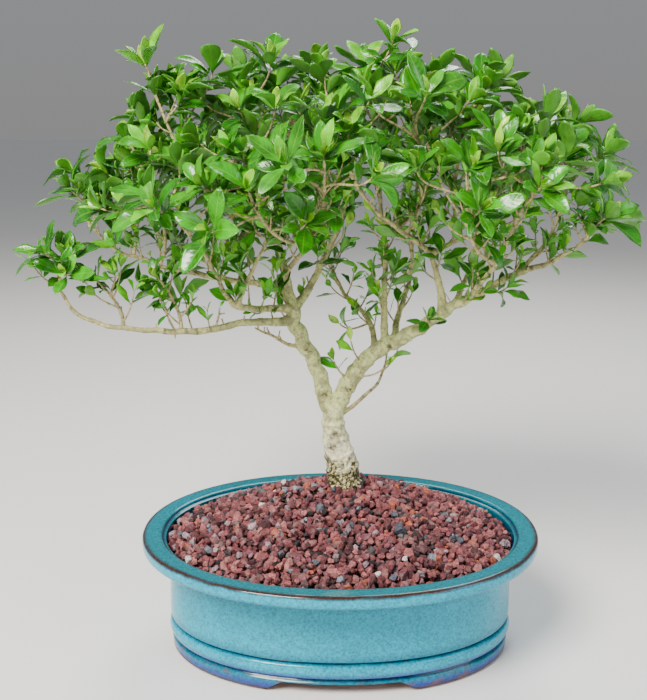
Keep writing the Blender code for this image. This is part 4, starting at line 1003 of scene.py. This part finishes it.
def make_wood(settings):
    """Trunk, limbs and branches as one grown surface: overlapping tubes, joined on a fine voxel grid and
    smoothed, then moved along their normals by the bark's relief, a sum of sine waves."""
    routes = wood_routes(3.0 * MM)
    points, faces = joined([limb_tube(name, rows, settings) for name, rows in routes.items()])
    wood = add_object("gardenia_wood", new_mesh("gardenia_wood", points, faces))
    remesh = wood.modifiers.new("grow_together", "REMESH")
    remesh.mode = "VOXEL"
    remesh.voxel_size = settings.voxel
    remesh.use_smooth_shade = True
    ease = wood.modifiers.new("ease", "SMOOTH")
    ease.factor = 0.5
    ease.iterations = 3
    wood = finished(wood)
    mesh = wood.data
    count = len(mesh.vertices)
    points, normals = np.empty(count * 3, np.float32), np.empty(count * 3, np.float32)
    mesh.vertices.foreach_get("co", points)
    mesh.vertex_normals.foreach_get("vector", normals)
    points, normals = points.reshape(-1, 3).astype(float), normals.reshape(-1, 3)
    rows = np.concatenate([np.column_stack([r[:, :3] + POT_MIDDLE, r[:, 3], route_length(r[:, :3])])
                           for r in routes.values()])
    nearest = nearest_rows(points, rows)
    girth, reach = rows[nearest, 3], rows[nearest, 4]
    x, y, z = (points * 2 * math.pi / 0.011).T
    relief = (np.sin(x + 1.3 * np.sin(y)) * np.sin(0.5 * z + np.sin(x))
              + 0.6 * np.sin(2.3 * y + z) * np.sin(1.7 * x))
    # A knot is a ring of raised bark: radius * 0.26 * s * exp(1 - s ** 2), where s is distance / radius, made
    # uneven by a wave.
    knot = np.zeros(count)
    for *place, radius in KNOTS:
        s = np.linalg.norm(points - (np.array(place) + POT_MIDDLE), axis=1) / radius
        s = s * (1 + 0.22 * np.sin(points[:, 2] * 900 + points[:, 0] * 700))
        points += normals * (s * np.exp(1 - s ** 2) * radius * 0.26)[:, None]
        knot = np.maximum(knot, 0.9 * np.exp(-((s - 0.35) / 0.45) ** 2))
    points += normals * (relief * girth * 0.034)[:, None]
    mesh.vertices.foreach_set("co", points.astype(np.float32).ravel())
    point_attribute(mesh, "girth", "FLOAT", girth)
    point_attribute(mesh, "reach", "FLOAT", reach)
    point_attribute(mesh, "knot", "FLOAT", knot)
    mesh.polygons.foreach_set("use_smooth", np.full(len(mesh.polygons), True))
    mesh.update()
    mesh.materials.clear()
    mesh.materials.append(bark_finish(settings))
    hand_over(wood, "old_bark", *routes)


def bark_finish(settings):
    """The bark, made once for the wood and the twigs."""
    return bpy.data.materials.get("smooth_gardenia_bark") or bark_material(settings)


# ---------------------------------------------------------------- sprays


def spray_plan(index, routes):
    """Where a spray's stem runs, and each tuft on it: its place on the stem, its tip, its axis, its roll,
    its leaves' lengths and tilts. It repeats the solid model's plan, so that each leaf there has its
    leaf here."""
    _, branch, share, middle, tufts, spread = SPRAYS[index]
    rng = np.random.default_rng([SPRAY_SEED, index])
    middle = np.array(middle)
    root, along, radius = point_on(routes[branch], share)
    leaving = sideways(middle - root, along) if share < 1 else along
    foot = root + leaving * ((radius if share < 1 else 0.0) + SPRAY_LIFT)
    length = np.linalg.norm(middle - foot)
    bend = foot + leaving * length * 0.42
    out = unit(middle - CANOPY_CORE)
    end = middle + unit(out + 0.6 * UP) * spread * 0.55

    def stem(t):
        return (1 - t) ** 2 * foot + 2 * t * (1 - t) * bend + t * t * end

    lead = unit(end - bend)
    side = sideways(np.array((0.3, 1.0, 0.2)), lead)
    other = np.cross(lead, side)
    phase = rng.uniform(0, 2 * math.pi)
    plan = []
    for k in range(tufts):
        jitter = rng.uniform(-1, 1, 6)
        lengths = rng.uniform(*LEAF_LENGTH, 5)
        tilts = rng.uniform(-0.14, 0.14, 5)
        roll = rng.uniform(0, 2 * math.pi)
        if k == tufts - 1:
            at, tip, axis = 1.0, None, unit(lead + 0.5 * out + 0.5 * UP)
        else:
            at = 0.50 + 0.44 * (k + 0.5) / (tufts - 1)
            turn = phase + k * GOLDEN_ANGLE
            away = math.cos(turn) * side + math.sin(turn) * other
            heading = unit(away + 0.35 * lead + 0.25 * UP + 0.18 * jitter[:3])
            tip = stem(at) + heading * spread * (1 + 0.18 * jitter[3]) + UP * spread * 0.15
            axis = unit(heading + 0.8 * out + 0.7 * UP + 0.2 * jitter[3:])
        plan.append((at, tip, axis, roll, lengths, tilts))
    return stem, plan


def leaf_outline(v):
    """Half-width of the blade at a share of its length, as a share of its greatest: a reversed egg with a
    point, sin(pi * v ** 1.22) ** 0.9, that narrows to a short stalk."""
    blade = np.sin(math.pi * np.clip((v - 0.05) / 0.95, 0, 1) ** 1.22) ** 0.9
    return np.maximum(blade, 0.07 * (v < 0.5))


def leaf_row(base, axis, angle, turn, length, settings, rng):
    """One leaf, as leaf_blades reads it: it leaves a twig's axis at an angle, turned round the axis."""
    first = sideways(np.array((0.35, -0.25, 1.0)) if abs(axis[2]) < 0.9 else np.array((1.0, 0.2, 0.1)), axis)
    second = np.cross(axis, first)
    away = math.cos(turn) * first + math.sin(turn) * second
    along = unit(math.cos(angle) * axis + math.sin(angle) * away)
    wide = unit(np.cross(axis, along))
    normal = np.cross(along, wide)
    breadth = settings.leaf_width * rng.uniform(0.82, 1.2)
    return np.concatenate([base, along, wide, normal, [
        length, breadth, rng.uniform(-0.12, 0.55), rng.uniform(0.05, 0.55), rng.uniform(0.03, 0.16),
        rng.uniform(0, 2 * math.pi), rng.uniform(-0.55, 0.55)]])


def leaf_blades(leaves):
    """Points of closed blades, all at once. Each row of leaves is base, along, wide, normal, length,
    breadth, arch, cup, ripple, phase, twist. A ring at a station is an ellipse as wide as the outline
    and as thin as the leaf. Its middle follows length * arch * v * (1 - v) and droops by v ** 2, the
    margins rise by cup * |across| ** 1.3 and wave by ripple * across ** 2 * sin, and the blade turns
    about its length by twist * v."""
    base, along, wide, normal = (leaves[:, k:k + 3][:, None, None] for k in (0, 3, 6, 9))
    length, breadth, arch, cup, ripple, phase, twist = (leaves[:, k][:, None, None] for k in range(12, 19))
    v = np.linspace(0, 1, LEAF_STATIONS + 2)[1:-1] ** 0.95
    turn = np.arange(LEAF_RING) * 2 * math.pi / LEAF_RING
    across = np.cos(turn)[None, None]
    v_grid = v[None, :, None]
    half = breadth * length / 2 * leaf_outline(v)[None, :, None]
    rise = half * (cup * np.abs(across) ** 1.3 + ripple * across ** 2 * np.sin(phase + 14 * v_grid))
    rise = rise + LEAF_THICKNESS / 2 * np.sin(turn)[None, None]
    out = half * across
    turned_out = out * np.cos(twist * v_grid) - rise * np.sin(twist * v_grid)
    turned_rise = out * np.sin(twist * v_grid) + rise * np.cos(twist * v_grid)
    middle = length * arch * v_grid * (1 - v_grid) - length * 0.16 * np.clip(arch, 0, None) * v_grid ** 2
    points = (base + along * (length * v_grid)[..., None] + wide * turned_out[..., None]
              + normal * (middle + turned_rise)[..., None])
    count = len(leaves)
    first = base[:, 0, 0]
    droop = (-length * 0.16 * np.clip(arch, 0, None))[:, 0]
    tip = first + along[:, 0, 0] * length[:, 0] + normal[:, 0, 0] * droop
    points = np.concatenate([points.reshape(count, -1, 3), first[:, None], tip[:, None]], axis=1)
    uv = np.stack(np.broadcast_arrays((across[0] + 1) / 2, v[:, None]), axis=-1).reshape(-1, 2)
    uv = np.concatenate([uv, [(0.5, 0.0), (0.5, 1.0)]])
    upper = np.concatenate([np.tile(0.5 + 0.5 * np.sign(np.round(np.sin(turn), 6)), LEAF_STATIONS), [0.5, 0.5]])
    return points, uv, upper


def bent_path(start, end, leaving, arriving, spacing):
    """Cubic curve from start to end that leaves and arrives along two directions, with handles of 0.4 of the
    distance, and a point for about each spacing of its length."""
    span = np.linalg.norm(end - start)
    t = np.linspace(0, 1, max(5, int(span / spacing)))[:, None]
    first, second = start + leaving * span * 0.4, end - arriving * span * 0.4
    return (1 - t) ** 3 * start + 3 * t * (1 - t) ** 2 * first + 3 * t * t * (1 - t) * second + t ** 3 * end


def back_along(path, distance):
    """The point and direction of a path at a distance back from its end."""
    reach = route_length(path)
    want = max(reach[-1] - distance, 0.0)
    k = min(int(np.searchsorted(reach, want, side="right")) - 1, len(path) - 2)
    here = np.array([np.interp(want, reach, path[:, axis]) for axis in range(3)])
    return here, unit(path[k + 1] - path[k])


def tuft_leaves(path, place, axis, roll, lengths, tilts, size, fresh, settings, rng):
    """The leaves of one tuft. The first three sit where the solid model has them, and the others are spread
    along the end of the twig, some of them missing."""
    rows, growth = [], []
    for k, (angle, half_turns, share, step, age) in enumerate(TUFT_LEAVES):
        wild = rng.uniform(-1, 1, 3)
        full, tilt = (lengths[k], tilts[k]) if k < 3 else (rng.uniform(*LEAF_LENGTH), wild[0] * 0.32)
        turn = roll + half_turns * math.pi + wild[1] * (0.12 if k < 3 else 0.5)
        base, heading = place + axis * NODE_LENGTH * step, axis
        if step < 0:
            base, heading = back_along(path, -step * NODE_LENGTH)
        row = leaf_row(base, heading, math.radians(angle) + tilt, turn, full * share * size, settings, rng)
        if k < 3 or rng.uniform() < TUFT_FULLNESS:
            rows.append(row)
            growth.append((np.clip(age - fresh + 0.16 * wild[2], 0, 1), rng.uniform()))
    return rows, growth


def side_shoot(foot, heading, length, pairs, leaf_length, settings, rng):
    """A small shoot that bends up to the light, with leaves in pairs, each pair square to the last. The pairs
    are spaced evenly over its upper part, and the leaves get smaller and younger to its tip."""
    path = bent_path(foot, foot + heading * length, unit(heading - 0.3 * UP), unit(heading + 0.8 * UP),
                     2.6 * MM)
    rows, growth = [], []
    roll = rng.uniform(0, 2 * math.pi)
    for pair in range(pairs):
        base, axis = back_along(path, pair * length * 0.75 / max(pairs, 2))
        for turn in (0.0, math.pi):
            if rng.uniform() < SHOOT_FULLNESS:
                size = leaf_length * min(1.0, PAIR_SIZE[0] + PAIR_SIZE[1] * pair) * rng.uniform(0.75, 1.2)
                angle = math.radians(PAIR_SPREAD[0] + PAIR_SPREAD[1] * pair) + rng.uniform(-0.3, 0.3)
                spin = roll + pair * math.pi / 2 + turn + rng.uniform(-0.4, 0.4)
                rows.append(leaf_row(base, axis, angle, spin, size, settings, rng))
                age = PAIR_AGE[0] + PAIR_AGE[1] * pair + rng.uniform(-0.18, 0.3)
                growth.append((np.clip(age, 0, 1), rng.uniform()))
    return path, rows, growth


def shoots_along(point_at, first, last, spacing, length, bare, settings, rng):
    """Side shoots at even steps along a stem, each turned a golden angle on from the last. Some are bare."""
    tubes, rows, growth = [], [], []
    turn = rng.uniform(0, 2 * math.pi)
    for at in np.arange(first, last, spacing / length):
        here, along, radius = point_at(at)
        turn += GOLDEN_ANGLE + rng.uniform(-0.5, 0.5)
        side = sideways(np.array((0.2, 1.0, 0.3)), along)
        away = math.cos(turn) * side + math.sin(turn) * np.cross(along, side)
        heading = unit(away + UPWARD_PULL * UP + 0.35 * along + 0.25 * rng.normal(size=3))
        dead = rng.uniform() < bare
        reach = rng.uniform(*(BARE_SHOOT if dead else LEAFY_SHOOT)) * MM
        pairs = 0 if dead else int(rng.integers(2, 5))
        path, more, ages = side_shoot(here + away * radius * 0.5, heading, reach, pairs,
                                      rng.uniform(*SHOOT_LEAF) * MM, settings, rng)
        tubes.append(twig_tube(path + POT_MIDDLE, 0.85 * MM, (0.55 if dead else 0.45) * MM))
        rows += more
        growth += ages
    return tubes, rows, growth


def twig_tube(path, low, high):
    """A twig as a tube that narrows from its foot to its tip, with a swollen joint about every 9 mm: the
    radius is multiplied by 1 + 0.35 * exp(-(distance to the joint / 0.9 mm) ** 2)."""
    reach = route_length(path)
    radii = low + (high - low) * reach / reach[-1]
    joint = np.exp(-(((reach + 3 * MM) % (9 * MM) - 4.5 * MM) / (0.9 * MM)) ** 2)
    radii = radii * (1 + 0.35 * joint)
    girth = np.concatenate([np.repeat(radii, TWIG_SIDES), radii[[0, -1]]])
    along = np.concatenate([np.repeat(reach, TWIG_SIDES), reach[[0, -1]]])
    return (tube(path, radii, TWIG_SIDES), *ring_faces(len(path), TWIG_SIDES)), girth, along


def add_twigs(name, tubes, wood):
    """Twigs as one piece in the wood's bark."""
    points, faces = joined([part for part, _, _ in tubes])
    mesh = new_mesh(name, points, faces)
    girth = np.concatenate([each for _, each, _ in tubes])
    point_attribute(mesh, "girth", "FLOAT", girth)
    point_attribute(mesh, "reach", "FLOAT", np.concatenate([along for _, _, along in tubes]))
    point_attribute(mesh, "knot", "FLOAT", np.zeros(len(girth)))
    hand_over(add_object(name, mesh, bark_finish(wood)), "young_bark")


def add_leaves(name, rows, growth, settings, *nodes):
    """Leaves as one piece, which may stand for solid nodes."""
    rows, growth = np.array(rows), np.array(growth)
    rows[:, :3] += POT_MIDDLE
    points, uv, upper = leaf_blades(rows)
    count, stride = points.shape[:2]
    quads, fans = ring_faces(LEAF_STATIONS, LEAF_RING)
    faces = repeated(quads, count, stride).tolist() + repeated(fans, count, stride).tolist()
    mesh = new_mesh(name, points.reshape(-1, 3), faces)
    point_uv(mesh, "blade", np.tile(uv, (count, 1)))
    tint = np.column_stack([np.repeat(growth, stride, axis=0), np.tile(upper, count), np.ones(count * stride)])
    point_attribute(mesh, "growth", "FLOAT_COLOR", tint)
    hand_over(add_object(name, mesh, leaf_finish(settings)), "leaf", *nodes)


def make_spray(index, routes, settings, wood):
    """A spray's twigs and its leaves, as two pieces. The leaves stand for the solid spray."""
    name = SPRAYS[index][0]
    stem, plan = spray_plan(index, routes)
    rng = np.random.default_rng([SPRAY_SEED, 100 + index])
    line = stem(np.linspace(-0.02, 1.0, 40)[:, None])
    tubes = [twig_tube(line + POT_MIDDLE, 1.6 * MM, 1.05 * MM)]
    rows, growth = [], []
    size, fresh = SPRAY_CHANGES.get(name, (1.0, 0.0))
    for at, tip, axis, roll, lengths, tilts in plan:
        here = stem(at)
        place = here if tip is None else tip
        top = place + axis * NODE_LENGTH * 2.0
        leaving = unit(stem(min(at + 0.02, 1.0)) - stem(at - 0.02))
        if tip is None:
            path = np.concatenate([line[-8:-1], bent_path(here, top, leaving, axis, 1.6 * MM)])
            tubes.append(twig_tube(path[6:] + POT_MIDDLE, 1.0 * MM, 0.55 * MM))
        else:
            path = bent_path(here, top, unit(unit(tip - here) + 0.6 * leaving), axis, 1.8 * MM)
            tubes.append(twig_tube(path + POT_MIDDLE, 1.05 * MM, 0.6 * MM))
        more, ages = tuft_leaves(path, place, axis, roll, lengths, tilts, size, fresh, settings, rng)
        rows += more
        growth += ages
    length = route_length(line)[-1]
    more_tubes, more, ages = shoots_along(
        lambda t: (stem(t), unit(stem(t + 0.01) - stem(t)), 1.2 * MM), 0.10, 0.90,
        settings.shoot_spacing * 0.9, length, 0.15, settings, rng)
    add_twigs(f"{name}_twigs", tubes + more_tubes, wood)
    add_leaves(f"{name}_leaves", rows + more, growth + ages, settings, f"spray_{name}")


def make_side_shoots(name, routes, settings, wood):
    """The small shoots on one branch, as its twigs and its leaves: those at even steps, then the
    placed ones."""
    rng = np.random.default_rng([SPRAY_SEED, 200 + list(routes).index(name)])
    rows = routes[name]
    first, last, share, bare = SHOOT_RUNS.get(name, USUAL_RUN)
    length = route_length(rows[:, :3])[-1]
    tubes, leaves, growth = shoots_along(lambda t: point_on(rows, t), first, last,
                                         settings.shoot_spacing * share, length, bare, settings, rng)
    for branch, at, heading, reach, pairs, leaf_length in PLACED_SHOOTS:
        if branch == name:
            here, _, _ = point_on(rows, at)
            path, more, ages = side_shoot(here, unit(np.array(heading, float)), reach, pairs, leaf_length,
                                          settings, rng)
            tubes.append(twig_tube(path + POT_MIDDLE, 1.1 * MM, 0.6 * MM))
            leaves += more
            growth += ages
    if tubes:
        add_twigs(f"{name}_side_twigs", tubes, wood)
    if leaves:
        add_leaves(f"{name}_side_leaves", leaves, growth, settings)


def leaf_finish(settings):
    """The leaf, made once for all sprays."""
    return bpy.data.materials.get("waxy_gardenia_leaf") or leaf_material(settings)


# ---------------------------------------------------------------- settings


def colour_setting(name, description, code):
    return FloatVectorProperty(name=name, description=description, subtype="COLOR", size=3, min=0, max=1,
                               default=linear(code))


def length_setting(name, description, default):
    return FloatProperty(name=name, description=description, unit="LENGTH", min=0.0, default=default,
                         precision=5)


def power_setting(name, description, default):
    return FloatProperty(name=name, description=description, unit="POWER", default=default)


class PotSettings(bpy.types.PropertyGroup):
    glaze: colour_setting("Glaze", "Turquoise of the open wall", "009cb6")
    glaze_deep: colour_setting("Deep glaze", "Where the glaze lies thicker", "00738c")
    glaze_rim: colour_setting("Rim glaze", "Flat top of the rim", "00707e")
    glaze_violet: colour_setting("Pooled glaze", "Violet-blue at the bottom edge", "22449a")
    # Painted shade, near black: in the turned grooves, where the glaze also pools darker, and on the inside
    # below the rim.
    groove_glaze_and_shade: colour_setting("Groove", "Bottom of each turned groove", "062040")


class StoneSettings(bpy.types.PropertyGroup):
    stone_size: length_setting("Stone size", "Width of a middling stone", 0.0082)
    spacing: length_setting("Spacing", "Distance between neighbouring stones of one layer", 0.0066)


class WoodSettings(bpy.types.PropertyGroup):
    voxel: length_setting("Voxel", "Grid on which the limbs grow together", 0.0009)
    bark_spare: length_setting("Spare bark", "Added to each radius, because smoothing takes it off", 0.00012)
    limb_sides: IntProperty(name="Sides", description="Sides of a limb before the limbs are joined", default=18,
                            min=6)
    trunk_colour: colour_setting("Trunk", "Chalky cream of the oldest bark", "efebc2")
    limb_colour: colour_setting("Limb", "Yellow-green of younger bark", "d0d88e")
    twig_colour: colour_setting("Twig", "Tan of the twigs", "bfab7c")


class LeafSettings(bpy.types.PropertyGroup):
    leaf_width: FloatProperty(name="Leaf width", description="Greatest width, as a share of the length",
                              default=0.41, min=0.1, max=1.0)
    shoot_spacing: length_setting("Shoot spacing", "Distance between small shoots on a branch", 0.0092)
    young_leaf: colour_setting("Young leaf", "A leaf that has just opened", "b2de2c")
    leaf: colour_setting("Leaf", "A full-grown leaf", "2c9209")
    old_leaf: colour_setting("Old leaf", "The oldest leaves", "0a5408")


class StageSettings(bpy.types.PropertyGroup):
    floor_colour: colour_setting("Floor", "Plain pale floor", "ecebe8")
    lens: FloatProperty(name="Lens", description="Focal length on a 36 mm frame", unit="CAMERA",
                        default=48.86)
    key_power: power_setting("Key light", "Power of the main soft light", 112)
    fill_power: power_setting("Fill light", "Power of the fill light", 12)
    back_power: power_setting("Back light", "Power of the light behind", 26)


# ---------------------------------------------------------------- operators


class GARDENIA_OT_pot(bpy.types.Operator):
    """Throw and glaze the oval pot"""

    bl_idname = "gardenia.pot"
    bl_label = "Glazed Pot"

    def execute(self, context):
        make_pot(context.scene.gardenia_pot)
        return {"FINISHED"}


class GARDENIA_OT_drainage(bpy.types.Operator):
    """Finish the drainage screens, their clips and the potting soil"""

    bl_idname = "gardenia.drainage"
    bl_label = "Soil and Drainage"

    def execute(self, context):
        finishes = {"screen": mesh_plastic_material(), "clip": wire_material(), "soil": soil_material()}
        for name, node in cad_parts.items():
            kind = next((kind for kind in finishes if name.endswith(kind)), None)
            if kind:
                node.data.materials.clear()
                node.data.materials.append(finishes[kind])
        return {"FINISHED"}


class GARDENIA_OT_stones(bpy.types.Operator):
    """Dress the soil with loose lava stone"""

    bl_idname = "gardenia.stones"
    bl_label = "Lava Stone"

    def execute(self, context):
        make_stones(context.scene.gardenia_stones)
        return {"FINISHED"}


class GARDENIA_OT_wood(bpy.types.Operator):
    """Grow the trunk, limbs and branches as one piece of wood"""

    bl_idname = "gardenia.wood"
    bl_label = "Wood"

    def execute(self, context):
        make_wood(context.scene.gardenia_wood)
        return {"FINISHED"}


class GARDENIA_OT_sprays(bpy.types.Operator):
    """Grow the twigs and leaves of every spray, and the small shoots on the branches"""

    bl_idname = "gardenia.sprays"
    bl_label = "Leafy Sprays"

    def execute(self, context):
        routes = wood_routes(17 * MM)
        leaves, wood = context.scene.gardenia_leaves, context.scene.gardenia_wood
        for index in range(len(SPRAYS)):
            make_spray(index, routes, leaves, wood)
        for name in routes:
            make_side_shoots(name, routes, leaves, wood)
        return {"FINISHED"}


class GARDENIA_OT_stage(bpy.types.Operator):
    """Set the plain floor, the soft lights and the camera"""

    bl_idname = "gardenia.stage"
    bl_label = "Stage"

    def execute(self, context):
        make_stage(context.scene, context.scene.gardenia_stage)
        return {"FINISHED"}


def make_stage(scene, settings):
    """A wide pale floor, three large soft lights, an even sky and the camera."""
    corners = [(x * FLOOR_HALF, y * FLOOR_HALF, 0) for x, y in ((-1, -1), (1, -1), (1, 1), (-1, 1))]
    finish, _, shader = new_material("matt_painted_floor")
    shader.inputs["Base Color"].default_value = (*settings.floor_colour, 1.0)
    shader.inputs["Roughness"].default_value = 0.7
    floor = add_object("studio_floor", new_mesh("studio_floor", corners, [(0, 1, 2, 3)], smooth=False), finish)
    floor.location.z = FLOOR_DROP

    world = bpy.data.worlds.new("even_studio_sky")
    world.use_nodes = True
    sky = world.node_tree.nodes["Background"]
    # The sky is a little darker at the horizon, where it meets the floor.
    up = add(world.node_tree, "TexCoord", output="Generated")
    up = add(world.node_tree, "SeparateXYZ", {0: up}, output="Z")
    tone = add(world.node_tree, "ValToRGB", {0: up}, stops=[(0.0, grey(0.74)), (0.25, linear("e9edf2"))])
    world.node_tree.links.new(tone, sky.inputs["Color"])
    sky.inputs["Strength"].default_value = 0.36
    scene.world = world

    middle = Vector(POT_MIDDLE) + LIGHT_TARGET
    for name, place, size, power, tint in (
            ("key_light", (-0.9, -1.3, 1.5), 0.9, settings.key_power, "fffaf2"),
            ("fill_light", (1.5, -0.9, 0.8), 1.1, settings.fill_power, "eef4ff"),
            ("back_light", (0.3, 1.4, 1.5), 1.0, settings.back_power, "ffffff")):
        light = bpy.data.lights.new(name, "AREA")
        light.shape = "SQUARE"
        light.size = size
        light.energy = power
        light.color = linear(tint)
        lamp = bpy.data.objects.new(name, light)
        lamp.location = middle + Vector(place)
        lamp.rotation_euler = (middle - lamp.location).to_track_quat("-Z", "Y").to_euler()
        scene.collection.objects.link(lamp)

    camera = bpy.data.cameras.new("camera")
    camera.sensor_width = 36
    camera.lens = settings.lens
    holder = bpy.data.objects.new("camera", camera)
    holder.location = Vector(POT_MIDDLE) + CAMERA_OFFSET
    holder.rotation_euler = (CAMERA_PITCH, 0, 0)
    scene.collection.objects.link(holder)
    scene.camera = holder


# ---------------------------------------------------------------- panel and registration


class GARDENIA_PT_panel(bpy.types.Panel):
    bl_label = "Potted Gardenia"
    bl_idname = "GARDENIA_PT_panel"
    bl_space_type = "VIEW_3D"
    bl_region_type = "UI"
    bl_category = "Gardenia"

    def draw(self, context):
        for operator in OPERATORS:
            self.layout.operator(operator.bl_idname)
        for name, group in SETTINGS.items():
            box = self.layout.box()
            for field in group.__annotations__:
                box.prop(getattr(context.scene, name), field)


SETTINGS = {
    "gardenia_pot": PotSettings,
    "gardenia_stones": StoneSettings,
    "gardenia_wood": WoodSettings,
    "gardenia_leaves": LeafSettings,
    "gardenia_stage": StageSettings,
}
OPERATORS = (GARDENIA_OT_pot, GARDENIA_OT_drainage, GARDENIA_OT_stones, GARDENIA_OT_wood, GARDENIA_OT_sprays,
             GARDENIA_OT_stage)


def register():
    for each in (*SETTINGS.values(), *OPERATORS, GARDENIA_PT_panel):
        bpy.utils.register_class(each)
    for name, group in SETTINGS.items():
        setattr(bpy.types.Scene, name, PointerProperty(type=group))


def unregister():
    for name in SETTINGS:
        delattr(bpy.types.Scene, name)
    for each in (GARDENIA_PT_panel, *OPERATORS[::-1], *list(SETTINGS.values())[::-1]):
        bpy.utils.unregister_class(each)


def main():
    register()
    bpy.ops.gardenia.pot()
    bpy.ops.gardenia.drainage()
    bpy.ops.gardenia.stones()
    bpy.ops.gardenia.wood()
    bpy.ops.gardenia.sprays()
    bpy.ops.gardenia.stage()


if __name__ == "__main__":
    main()
